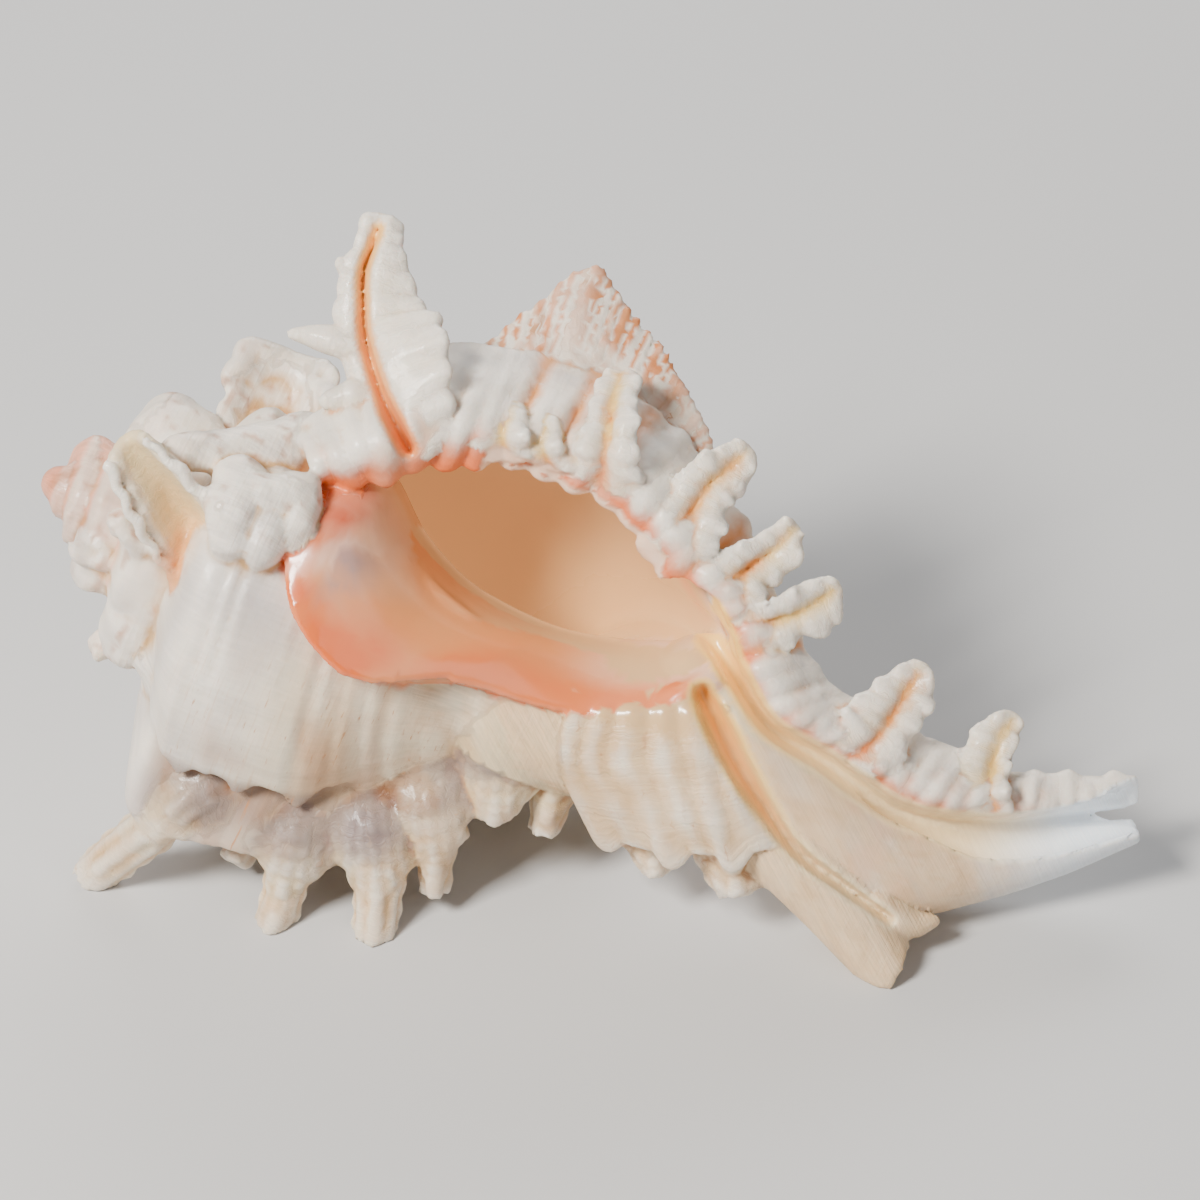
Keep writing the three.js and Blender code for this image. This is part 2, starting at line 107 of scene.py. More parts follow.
def unit(v):
    v = np.asarray(v, float)
    return v / np.maximum(np.linalg.norm(v, axis=-1, keepdims=True), 1e-9)


def curve(rows, count):
    """count rows along a smooth curve through all the given rows, whatever their columns."""
    p = np.asarray(rows, float)
    if len(p) == 2:
        return p[0] + (p[1] - p[0]) * np.linspace(0, 1, count)[:, None]
    slope = np.gradient(p, axis=0)
    t = np.linspace(0, len(p) - 1, count)
    i = np.minimum(t.astype(int), len(p) - 2)
    f = (t - i)[:, None]
    return (
        (2 * f**3 - 3 * f**2 + 1) * p[i] + (f**3 - 2 * f**2 + f) * slope[i]
        + (3 * f**2 - 2 * f**3) * p[i + 1] + (f**3 - f**2) * slope[i + 1]
    )


def ramp(x, low, high):
    """0 below low, 1 above high, and smooth between them; low may be the larger."""
    t = np.clip((np.asarray(x, float) - low) / (high - low), 0, 1)
    return t * t * (3 - 2 * t)


def bell(x, centre, width):
    return np.exp(-(((x - centre) / width) ** 2))


def wobble(x, y, seed):
    """Smooth value noise in -1..1 on a lattice of unit cells."""
    lattice = np.random.default_rng(seed).uniform(-1, 1, (64, 64))
    x, y = np.asarray(x, float), np.asarray(y, float)
    i, j = np.floor(x).astype(int), np.floor(y).astype(int)
    u, v = x - i, y - j
    u, v = u * u * (3 - 2 * u), v * v * (3 - 2 * v)
    i, j, after_i, after_j = i % 64, j % 64, (i + 1) % 64, (j + 1) % 64
    low = lattice[i, j] * (1 - u) + lattice[after_i, j] * u
    high = lattice[i, after_j] * (1 - u) + lattice[after_i, after_j] * u
    return low * (1 - v) + high * v


def soft_min(a, b, k):
    h = np.clip(0.5 + 0.5 * (b - a) / k, 0, 1)
    return b + (a - b) * h - k * h * (1 - h)


def soft_max(a, b, k):
    return -soft_min(-a, -b, k)


def size_at(growth):
    return WHORL_GROWTH ** (growth / 360.0)


def place(along, radius, growth):
    """Where an outline's point comes on the whorl of that growth angle."""
    size = size_at(growth)
    azimuth = np.radians(LIP_AZIMUTH - growth)
    out = np.broadcast_arrays(
        along * size + POLE * (1 - size),
        radius * size * np.sin(azimuth), radius * size * np.cos(azimuth),
    )
    return np.stack(out, -1)


# Whorls as a field

def table_of(polygon):
    """Signed distance to a closed polygon in the half plane, on a half-millimetre table."""
    p = np.asarray(polygon, float)
    q = np.roll(p, -1, 0)
    rows, columns = np.arange(TABLE_START, 160, TABLE_STEP), np.arange(0, 70, TABLE_STEP)
    a, r = np.meshgrid(rows, columns, indexing="ij")
    best = np.full(a.shape, 1e9)
    inside = np.zeros(a.shape, bool)
    for (x0, y0), (x1, y1) in zip(p, q):
        dx, dy = x1 - x0, y1 - y0
        t = np.clip(((a - x0) * dx + (r - y0) * dy) / max(dx * dx + dy * dy, 1e-12), 0, 1)
        best = np.minimum(best, np.hypot(a - x0 - t * dx, r - y0 - t * dy))
        if y0 != y1:
            inside ^= ((y0 > r) != (y1 > r)) & (a < (x1 - x0) * (r - y0) / (y1 - y0) + x0)
    return np.where(inside, -best, best).astype(np.float32)


def look(table, a, r):
    x = np.clip((a - TABLE_START) / TABLE_STEP, 0, table.shape[0] - 1.001)
    y = np.clip(r / TABLE_STEP, 0, table.shape[1] - 1.001)
    i, j = x.astype(np.int32), y.astype(np.int32)
    u, v = x - i, y - j
    return (
        table[i, j] * (1 - u) * (1 - v) + table[i + 1, j] * u * (1 - v)
        + table[i, j + 1] * (1 - u) * v + table[i + 1, j + 1] * u * v
    )


def filled(outline):
    smooth = [tuple(p) for p in curve(outline, 45)]
    return smooth + [(outline[-1][0], -12), (outline[0][0], -12)]


def radius_on(outline, along):
    return np.interp(along, [a for a, _ in outline], [r for _, r in outline])


def hollow(inner, outline, ends):
    """The hollow's section: its inner curve, then the whorl's outline less the wall."""
    outer = [(a, radius_on(outline, a) - WALL) for a in np.linspace(ends[1], ends[0], 30)]
    return table_of([tuple(p) for p in curve(inner, 30)] + outer)


EARLY = table_of(filled(EARLY_OUTLINE))
LIP = table_of(filled(LIP_OUTLINE))
MOUTH_AT_LIP = hollow(LIP_INNER, LIP_OUTLINE, LIP_OUTER_ALONG)
MOUTH_DEEP = hollow(DEEP_INNER, EARLY_OUTLINE, DEEP_OUTER_ALONG)


def swell_at(growth):
    total = np.zeros_like(growth)
    for age, share in VARICES:
        gap = (growth + age) / VARIX_HALF_WIDTH
        total = np.maximum(total, share * bell(gap, 0, 0.75))
    return 1 + total


def relief(a, growth):
    """Height of the sculpture on a whorl, in millimetres at the lip's size."""
    turns = growth / 360.0
    body = ramp(a, 41, 47)
    cords = 0.34 * np.cos(2 * np.pi * (a / 6.1 + 0.5 * wobble(turns * 5, a / 12, 3)))
    cords = cords + 0.2 * np.cos(2 * np.pi * (a / 3.3 + 0.45 * wobble(turns * 5, a / 9, 9)))
    threads = 0.06 * np.cos(2 * np.pi * (a / 1.7 + 0.3 * wobble(turns * 9, a / 7, 4)))
    fade = 0.55 + 0.45 * wobble(turns * 7, a / 8, 11)
    folds = 0.4 * wobble(growth / 8.0, a / 30, 5) + 0.14 * wobble(growth / 2.8, a / 14, 6)
    lumps = 1.0 * wobble(growth / 8.0, a / 6.5, 10) * ramp(-growth, 290, 380)
    shoulder = bell(a, 47, 4.5)
    bumps = np.maximum(0, np.cos(np.radians(growth * 360 / KNOBS_APART))) ** 2
    knobs = shoulder * bumps * (0.5 + 1.8 * ramp(-growth, 280, 360))
    edge = LEDGE + 2.4 * np.cos(a / 2.1)
    edge = edge + 2.6 * wobble(a / 4.2, 0.5, 8) + 1.6 * wobble(a / 1.7, 3.5, 12)
    ledge = 3.0 * ramp(growth, edge - 45, edge - 1.5) * ramp(growth, edge + 2.2, edge)
    recess = -2.6 * ramp(growth, edge, edge + 3) * ramp(growth, edge + 14, edge + 6)
    low = ramp(a, 45, 50) * ramp(a, 92, 78)
    return body * fade * (cords + threads) + folds + lumps + knobs + low * (ledge + recess)


def section_field(along, radius, growth):
    """Distance to the filled whorl at its own growth angle; growth is never past the lip."""
    size = size_at(growth)
    a = (along - POLE * (1 - size)) / size
    swell = swell_at(growth)
    q = radius / size / swell
    flare = np.exp(growth / LIP_FLARE_ANGLE)
    d = (1 - flare) * look(EARLY, a, q) + flare * look(LIP, a, q)
    return (d * swell - relief(a, growth)) * size, a


def mouth_field(along, radius, growth):
    """Distance to the hollow of the aperture, which runs back from the lip."""
    held = np.clip(growth, -APERTURE_DEPTH, APERTURE_BEYOND)
    size = size_at(held)
    a = (along - POLE * (1 - size)) / size
    q = radius / size
    flare = np.exp(np.minimum(held, 0) / LIP_FLARE_ANGLE)
    d = (1 - flare) * look(MOUTH_DEEP, a, q) + flare * look(MOUTH_AT_LIP, a, q)
    close = np.clip((-growth - APERTURE_DEPTH + APERTURE_CLOSES) / APERTURE_CLOSES, 0, 1)
    d = d + APERTURE_HALF * (1 - np.sqrt(np.maximum(1 - close**2, 0)))
    past = np.radians(np.maximum(growth - APERTURE_BEYOND, 0)) * radius
    return np.where(growth < -APERTURE_DEPTH, FAR, d * size + past)


# Grid

axes = [np.arange(LOW[k], HIGH[k], STEP).astype(np.float32) for k in range(3)]
shape = tuple(len(v) for v in axes)


class Cloud:
    """Balls that together make a form: centres, radii and what each of them is."""

    def __init__(self):
        self.centres, self.radii, self.marks, self.breaks = [], [], [], []

    def add(self, centres, radii, kind, across=0.0, down=0.0, glow=0.0):
        centres = np.asarray(centres, float)
        values = (radii, kind, across, down, glow)
        radii, *marks = (np.broadcast_to(v, centres.shape[:-1]).ravel() for v in values)
        self.centres.append(centres.reshape(-1, 3))
        self.radii.append(radii)
        self.marks.append(np.stack(marks, 1))

    def break_off(self, point, direction, reach, seed):
        """Ends whatever stands past a point in a rough, flat break."""
        self.breaks.append((np.asarray(point, float), unit(direction), reach, seed))

    def all(self):
        return np.concatenate(self.centres), np.concatenate(self.radii), np.concatenate(self.marks)

    def block(self, point, reach):
        return tuple(
            slice(max(0, int((c - reach - low) / STEP)), max(0, int((c + reach - low) / STEP) + 2))
            for c, low in zip(point, LOW)
        )

    def field(self, margin=4.0):
        values = np.full(shape, FAR, np.float32)
        centres, radii, _ = self.all()
        for point, radius in zip(centres, radii):
            i, j, k = where = self.block(point, radius + margin)
            dx, dy, dz = axes[0][i] - point[0], axes[1][j] - point[1], axes[2][k] - point[2]
            square = (dx * dx)[:, None, None] + (dy * dy)[None, :, None] + (dz * dz)[None, None, :]
            np.minimum(values[where], np.sqrt(square) - radius, out=values[where])
        for point, direction, reach, seed in self.breaks:
            where = self.block(point, reach)
            offsets = (a[n] - c for a, n, c in zip(axes, where, point))
            dx, dy, dz = np.meshgrid(*offsets, indexing="ij")
            past = dx * direction[0] + dy * direction[1] + dz * direction[2]
            past = past + 0.45 * wobble(dx / 1.3 + dz / 1.7 + 9, dy / 1.5 + dz / 2.1 + 9, seed)
            near = dx * dx + dy * dy + dz * dz < reach * reach
            values[where] = np.where(near, np.maximum(values[where], past), values[where])
        return values


BODY, FROND, FOOT, COLLAR_, CALLUS_, FAN, CANAL_, STUB, KNOB, SLIT_, GROOVE_, GUTTER_ = range(12)


def spread(rows, spacing):
    """A smooth path through rows, with its own directions and its length."""
    length = np.linalg.norm(np.diff(curve(rows, 30)[:, :3], axis=0), axis=1).sum()
    path = curve(rows, max(8, int(length / spacing)))
    return path, unit(np.gradient(path[:, :3], axis=0)), length


def scoop(cloud, rows, front, kind, ribs=0.0, ruffle=0.0, seed=0, thick=1.5, spacing=0.8):
    """A trough along rows of [along, away, out, half width, depth], open towards front."""
    path, tangent, length = spread(rows, spacing)
    side = unit(np.cross(tangent, unit(front)))
    up = np.cross(side, tangent)
    down = np.linspace(0, 1, len(path))
    for n, row in enumerate(path):
        half, depth = max(row[3] - 0.7 * thick, 0.3), row[4]
        u = np.linspace(-1, 1, max(3, int(2 * half / spacing)))
        wave = np.sin(down[n] * length / 2.4 * np.pi + np.where(u > 0, 0, 1.9) + seed)
        edge = np.abs(u) ** 4
        reach = half * (1 + ruffle * wave * edge)
        rise = depth * (u**2 - 0.4) - ribs * np.cos(np.pi * (u * half / 0.95)) * (1 - edge)
        centre = row[:3] + side[n] * (u * reach)[:, None] + up[n] * rise[:, None]
        cloud.add(centre, thick * (1 - 0.25 * edge), kind, u, down[n], bell(u, 0, 0.5))
    return path[-1, :3], tangent[-1]


def leaf(cloud, rows, front, kind, ruffle, seed, thick=1.25, gape=1.3, pleat=0.2, spacing=0.75):
    """A folded frond along rows of [along, away, out, left width, right width, groove depth].

    Its groove faces front and is gape wide. Its sides round over it and curl back at the
    edges, which are ruffled by up to ruffle millimetres.
    """
    path, tangent, length = spread(rows, spacing)
    side = unit(np.cross(tangent, unit(front)))
    up = np.cross(side, tangent)
    down = np.linspace(0, 1, len(path))
    for n, row in enumerate(path):
        left, right = np.maximum(row[3:5] - 0.8 * thick, 0.4)
        x = np.linspace(-left, right, max(4, int((left + right) / spacing)))
        share = np.abs(x) / np.where(x < 0, left, right)
        wave = np.sin(down[n] * length / 2.1 * np.pi + np.where(x > 0, 0, 1.7) + seed)
        wave = wave + 0.8 * wobble(down[n] * length / 1.6 + seed, np.sign(x) + 2, seed + 100)
        edge = share**3
        open_side = 1 - np.exp(-((np.abs(x) / gape) ** 1.6))
        rise = row[5] * (open_side - 0.75) - LEAF_CURL * np.abs(x) * share + ruffle * 1.4 * wave * edge
        pleats = pleat * np.cos(down[n] * length / 1.15 * np.pi + 2.5 * share) * share
        reach = x * (1 + ruffle * 0.25 * wave * edge)
        centre = row[:3] + side[n] * reach[:, None] + up[n] * (rise + pleats)[:, None]
        glow = bell(np.abs(x), 0, gape * 1.15)
        cloud.add(centre, thick * (1 - 0.3 * edge), kind, np.sign(x) * share, down[n], glow)


def rod(cloud, rows, kind, spacing=0.9):
    """A solid limb along rows of [along, away, out, radius]."""
    path, tangent, _ = spread(rows, spacing)
    cloud.add(path[:, :3], path[:, 3], kind, 0, np.linspace(0, 1, len(path)))
    return path[-1, :3] + tangent[-1] * path[-1, 3] * 0.4, tangent[-1]


def patch(grid, rows, columns):
    """A smooth net of rows by columns points through a grid of points."""
    grid = np.asarray(grid, float)
    lengthwise = np.stack([curve(grid[:, j], rows) for j in range(grid.shape[1])], 1)
    return np.stack([curve(row, columns) for row in lengthwise])


# Forms of the shell

# Lip fronds, from root to tip: [along, away, out, left width, right width, groove depth]
LIP_FRONDS = [
    [(52.5, -23, 28, 4.8, 6.5, 2), (49, -23.5, 30.5, 6, 10, 3), (44, -22.5, 34.5, 5.4, 12.6, 3.5),
     (38, -20.5, 41, 5, 12.5, 3.6), (35.5, -20, 46, 4.6, 9.4, 3.4), (34, -19.5, 51, 4.2, 7, 3),
     (32.5, -18.8, 55.4, 3, 5.2, 2.4), (32, -18, 58.6, 2.8, 4.2, 1.6)],
    [(65.5, -22.5, 33.5, 3.7, 4.4, 2), (63.5, -25, 37, 4.4, 4.6, 3), (62.5, -22, 41.5, 3, 3, 1.8)],
    [(72.5, -22, 35, 2.8, 3.6, 1.8), (70, -24.5, 37.5, 3, 3.6, 2.4), (68.5, -23, 41, 2.2, 2.8, 1.4)],
    [(80.5, -21.5, 36.5, 3.8, 6.3, 2.4), (79, -25, 41.5, 4.6, 5.8, 3.4), (77, -21, 48, 4, 4.7, 3),
     (76, -15.5, 53.5, 3, 3.2, 2)],
    [(97, -19.5, 30.5, 7.2, 5, 2.2), (95.5, -21, 36.5, 6.6, 6.2, 3.4), (96, -20, 43, 5.4, 4.8, 3.4),
     (97.5, -19.5, 46.5, 4.6, 5, 2.8), (99, -19.5, 50.5, 3, 2.8, 1.8)],
    [(107, -17.5, 27, 5.2, 4, 2.2), (106.5, -19, 32, 5.8, 6.2, 3.2), (107.5, -18.5, 35, 4.6, 5.2, 3.2),
     (109.5, -18, 38.5, 3.8, 4.8, 2.6), (111, -18, 43, 2.8, 2.4, 1.6)],
    [(111.5, -17, 25, 4, 3.8, 2), (114, -18, 28, 4.4, 5, 2.8), (117, -17.5, 31, 4.6, 4.6, 2.8),
     (119, -17, 34, 3.9, 6, 2.4), (121, -17, 37, 2.8, 2.6, 1.6)],
    [(134, -13.5, 14.5, 6.5, 4.4, 1.6), (136.5, -14, 18, 7.2, 6, 2.8), (137.5, -13, 23.5, 6, 4.5, 3),
     (138, -12, 27.5, 4.4, 4.6, 2.4), (138.5, -12, 31.5, 2.6, 2.4, 1.6)],
    [(159, -7.5, 16, 7.3, 3, 1.6), (156.5, -9, 18.5, 9.5, 3.6, 2.6), (155.5, -7.5, 23, 6.6, 3.4, 2.8),
     (155, -6.5, 27.5, 4.2, 3, 2.2), (155.5, -6, 30.5, 2.4, 2.2, 1.6)],
]
# Prongs of the tallest frond's left side: [along, away, out, radius]
PRONGS = [
    [(37, -20, 39.5, 2.6), (31.5, -20, 38.5, 2), (27.4, -19.5, 37.2, 1.1)],
    [(33, -19.5, 49, 2.2), (29.6, -19, 50.4, 1.2)],
    [(40, -22, 32.5, 2.6), (36.6, -22, 30, 1.3)],
]
# Fronds of the varix that the shell stands on: [along, away, out, half width, depth]
FOOT_FRONDS = [
    [(47, -3, -31, 6.5, 2.6), (42.4, -5.6, -36, 5, 3), (38.4, -0.5, -44, 4.2, 3),
     (34.8, 5, -50.5, 3.9, 2.6), (31.4, 10.4, -57, 3.8, 2.2)],
    [(52, 6, -28, 5.4, 3), (53, 7, -38, 3.4, 2.4), (52.2, 7, -44.4, 2.4, 1.6)],
    [(57, -2, -27, 9, 1.6), (60.4, -3.6, -36, 8.4, 2.4), (61.6, -1, -42, 4.2, 3),
     (62.4, 0.8, -46.5, 3.5, 2.6), (62.9, 2.6, -52.4, 3.3, 2)],
    [(67, -2, -21, 9, 1.6), (71.6, -4.4, -29.5, 8.6, 2.4), (75, -2.4, -36, 4.6, 3),
     (77.2, -1, -41, 4, 2.6), (79, 0.3, -47, 3.8, 2)],
    [(74, -4, -15, 9, 1.6), (79, -4.4, -24, 7.2, 2.4), (82, -0.6, -29.4, 3, 2.4),
     (84.7, 2, -35, 2.5, 1.8)],
    [(84, -7, -8, 8, 2.4), (86.4, -5, -15.4, 5.4, 2.4), (88, -3, -19.6, 2.2, 1.6)],
    [(93, -4, -1, 7, 4), (94.5, -1, -11, 4, 3.2), (95.9, 1.4, -18.6, 2.4, 2)],
    [(105, -5, 2, 8.5, 5), (109, -4, -7, 6.4, 4), (112.6, -3, -12.5, 4, 2.6),
     (115.2, -2.6, -17, 1.7, 1.4)],
    [(113, -8, 7, 9, 5), (120.5, -8, -3, 7.8, 4), (124.6, -7.4, -8.6, 5.2, 3), (128.2, -7, -14, 2.6, 2)],
]
# The last varix's front, a ribbed apron that hangs over the old canal
APRON = [
    [(92, -16, 2), (98, -16.8, 5), (104, -17.4, 8), (109, -17.8, 10.4), (112.6, -17.6, 12)],
    [(93, -14.4, -4), (100, -16.2, -1.6), (107, -17.2, 1.6), (113, -17.8, 4.6), (117.4, -17.4, 7)],
    [(98, -10, -9), (105, -13.4, -7), (112, -15.8, -4.2), (118, -16.8, -1.4), (122.8, -16.4, 2)],
    [(103, -5, -12.6), (110.6, -9.6, -12), (117.2, -12.6, -9.4), (123.2, -14, -7), (128.8, -14, -3)],
]
# The crest has the same columns, and the knobs are limbs of [along, away, out, radius]
CREST = [(33, 5, 12, 11, 9), (30, 7, 22, 9.8, 6), (27, 8.5, 29, 9, 4), (26.4, 9.5, 34, 8.4, 2.4)]
TOP_KNOBS = [
    [(17, 1, 7, 8.5), (15.5, 2, 13, 7.5), (13.4, 3, 17.4, 4.4)],
    [(19, 1, 9, 6.5), (19, 2, 16, 4.6)],
    [(6.5, 0, 2.5, 4.6), (6, 0, 5.5, 4), (5.7, 0, 8, 2)],
    [(3.4, -1, 0.5, 2.6), (1.8, -1, 1.6, 1.6)],
    [(14.5, -3, -8, 4.6), (12.6, -3, -10, 3.2)],
    [(24, -6, -15, 6), (23.6, -6, -19, 3.6)],
    [(30, -7, -17, 6), (30.4, -6, -20, 3.6)],
]
# The lumps between the shoulder's frond and the callus
SHOULDER_LUMPS = [
    [(30.5, -26, 12.5, 4.6), (31.4, -29.2, 9, 4.2), (33, -29.4, 5, 3.6)],
    [(31, -27, 12.5, 3.6), (35, -28.4, 12.6, 3.6), (39.5, -27, 14.6, 3.6), (41.2, -28, 11, 3),
     (41.4, -27.8, 8.6, 2.4)],
    [(36, -22, 12, 5.5), (36.4, -27, 8.6, 4.8), (37.4, -28.6, 5.8, 3.6)],
    [(36, -15, 22, 5), (27, -20, 16.5, 4.4), (20, -25.5, 13.4, 3)],
]
SHOULDER_FROND = [
    (31, -17, -1, 6, 4), (25, -22, 3.8, 6.6, 7), (18.6, -26.6, 8, 6, 7), (12.8, -29.4, 11, 4.6, 4.6),
]
TO_FOOT = (0.45, -0.72, -0.52)
# Fronds on older varices: (along at the root, along at the tip, reach, half width)
BACK_FRONDS = [
    (48, 39, 68, 8), (60, 58, 53, 5), (71, 75, 63.5, 7.5), (83, 87, 49, 5),
    (92, 100, 51, 7), (102, 110, 39, 5), (112, 121, 37, 6),
]
SPIRE_KNOBS = [(47, 38, 51, 8), (57, 55, 48, 6)]
# Solid limbs: [along, away, out, radius]
CANAL = [
    (109, -8, 14, 9), (117, -7, 9, 11), (133, -5, 3.5, 10), (147, -2.5, 1.5, 8.9),
    (159, 0, 7, 7), (169.5, 0.5, 15, 5.8), (176, 0, 21.4, 5.2), (179.4, 0, 25, 5),
]
OLD_CANAL = [
    (84, -5, -1, 11), (102, -6, 2, 11), (118, -7, 3, 9.2),
    (137, -7.5, -5, 6.8), (154, -7, -13.4, 4.9),
]
OLD_TIP_FLAP = [(148, -7, -6, 4.5), (154, -6.6, -6, 2.6), (157.6, -6.4, -3.8, 1.1)]
COLUMELLA = [(44, -6, 4, 14), (60, -6, 4, 14.5), (78, -4, 3, 12.5), (94, -4, 4, 11.5), (106, -7, 9, 10)]
# Carved channels: [along, away, out, radius], with how deep they run behind their path
SLIT = [
    (92, -8, 27, 5), (97, -12, 26, 5), (102, -15.5, 24.3, 4.2), (108, -18, 21.2, 2.6),
    (114, -18, 17, 1.7), (121, -16.6, 13, 1.5), (131, -14, 11.8, 1.7), (137, -12.6, 10.6, 1.9),
    (147, -9.6, 9.6, 1.9),
    (160, -6.6, 13.4, 2), (172, -3.8, 20.2, 2.2), (186, -1.8, 28.4, 2.4),
]
SLIT_DEPTH = 7.5
CANAL_BORE = [
    (140, -6, 6, 3.4), (150, -4, 6.4, 3.8), (160, -3, 10.4, 3.6), (172, -2.6, 19.4, 3.8),
    (186, -2.6, 32.4, 3.8),
]
GROOVE = [
    (108.8, -19.6, 13.6, 1.9), (113, -19.4, 10.4, 2.5), (118.6, -18.2, 5.8, 2.2), (126, -16.6, 1, 1.7),
    (133.2, -15, -2.8, 1.4), (142.6, -12.8, -4.8, 1.1), (151, -10.8, -6.4, 0.9),
]
GROOVE_DEPTH = 4.6
# The tallest frond's gutter, which runs on over the collar to the margin
GUTTER = [
    (32.6, -21, 57.6, 0.5), (33.2, -22.6, 51, 0.7), (35.4, -24, 46, 0.8), (38.2, -24.4, 41, 0.9),
    (44, -26, 34.5, 1.1), (48.6, -27, 30.8, 1.2), (51.6, -27, 28.6, 1.1),
]
GUTTER_DEPTH = 5
# The shield beside the aperture, each row from its free edge in: [along, away, out]
CALLUS = [
    [(40, -21.5, 16.5), (42, -22, 18.5), (44, -21, 20.5), (46, -18, 22.5), (48, -12, 24)],
    [(41.5, -27.6, 7), (45, -28.2, 11), (48.5, -26, 15.5), (50.5, -20.5, 19.5), (51.5, -10, 23)],
    [(47, -30, -1.5), (51, -28.6, 4.5), (54.5, -25, 10), (57, -18, 14.2), (58.5, -6, 17.5)],
    [(56, -28.6, -6.2), (60, -26.5, 0), (63, -22.5, 6), (66, -16, 10.4), (67.5, -5, 13.6)],
    [(63, -26.5, -5), (67, -24, 0.5), (71, -20, 6), (74, -14, 9.8), (76, -4, 12.6)],
    [(71, -23, -1), (75, -21, 3), (79, -17.5, 7.5), (82, -12.5, 10.6), (84.5, -4, 12.9)],
    [(80, -19.6, 0.5), (84, -18, 4), (88, -15, 8), (91, -11, 12), (93, -5, 15)],
    [(90, -17.6, 2.6), (93, -16.6, 5.5), (96, -14.5, 9.4), (99, -11.5, 14), (101, -8, 18)],
    [(99, -17, 5.6), (101, -17, 8.5), (103.5, -16, 12.4), (105.5, -14, 16.5), (107, -11, 20)],
    [(104, -18, 10), (105, -18.2, 12), (106.5, -18, 14.5), (108, -17, 17), (109, -16, 20)],
]
# The lip's collar: its margin, its outer edge and its root, each [along, away, out]
COLLAR = [
    [(42, -23.5, 19.5), (35.5, -19, 24), (41, -16, 21)],
    [(50, -23.5, 23), (40, -20, 34), (48, -16, 31)],
    [(54, -22.2, 28.5), (50, -16, 45), (53, -13.5, 40)],
    [(58.5, -21.3, 29.8), (57, -13, 48.5), (58, -12, 42)],
    [(64.6, -20.5, 33.4), (64, -11, 50), (64, -11.5, 43)],
    [(74.3, -20, 34.6), (75, -10, 51.5), (75, -11, 43.5)],
    [(81, -19.5, 35), (84, -11, 50), (83, -11.5, 42.5)],
    [(88.5, -19, 33), (93, -12, 46.5), (91, -12, 39)],
    [(95.7, -18.4, 28.5), (102, -13, 41), (99, -12, 34)],
    [(101.6, -17.6, 27.5), (109, -13.5, 35), (105.5, -11.5, 30)],
    [(108.2, -16.8, 25), (116, -13, 29.5), (111, -9, 24)],
    [(114.7, -16, 18.5), (122.5, -12, 24.5), (117, -6, 17)],
    [(120.2, -14.4, 14.5), (129, -10.5, 22.5), (123, -4, 13)],
    [(130.9, -12, 14.2), (136.5, -9, 22), (132, -2, 11.5)],
    [(140.9, -9.6, 12.2), (143.5, -7.5, 21.5), (141.5, -0.5, 10)],
    [(147, -8, 11.8), (149.5, -6.5, 21.5), (148, 0.5, 9.5)],
    [(153, -6.5, 13.4), (155, -5.5, 21.5), (154, 1, 11)],
    [(160.4, -4.8, 16.2), (160, -4.5, 22.5), (160, 1.5, 14)],
    [(172.5, -2.4, 22.8), (170.5, -2, 27), (171.5, 1.5, 20)],
    [(179.5, -0.8, 27), (177.4, -0.8, 29.6), (178.3, 1, 27.5)],
]
COLLAR_BULGES = [(0, 0), (0.3, 0.3), (0.65, 0.22), (1, 0)]  # share of the way across, and of its width
# The fan's edge and base: (along, out)
FAN_EDGE = [
    (52.5, 43), (55, 48.5), (59, 57), (63.5, 65.5), (67, 66.5), (73, 63),
    (80, 60.3), (84, 57), (88, 54.4), (93, 50), (96, 45),
]
FAN_BASE = [
    (57, 38), (60, 37), (64, 36.5), (68, 36), (72, 36), (75, 36), (78, 36), (81, 36),
    (84, 36), (87, 36), (90, 36),
]


def varix_fronds(cloud, age, fronds, kind, ribs=0.25):
    """The fronds of a varix of that age, which curve back towards older growth."""
    front = place(0, 1.0, -age + 90.0) * np.array([0, 1, 1])
    for n, (along, end, reach, half) in enumerate(fronds):
        root = radius_on(EARLY_OUTLINE, along) * 0.86
        points = [
            place(along, root, -age),
            place(along + (end - along) * 0.4, root + (reach - root) * 0.6, -age - 1.0),
            place(end, reach - 1.2, -age - 5.0),
        ]
        half = half * float(size_at(-age))
        rows = [(*p, half * w, half * d) for p, w, d in zip(points, (1.25, 0.82, 0.48), (0.5, 0.5, 0.3))]
        tip, ahead = scoop(cloud, rows, front, kind, ribs=ribs, ruffle=0.1, seed=20 + n, thick=1.3)
        cloud.break_off(tip, ahead, half * 0.8, 20 + n)


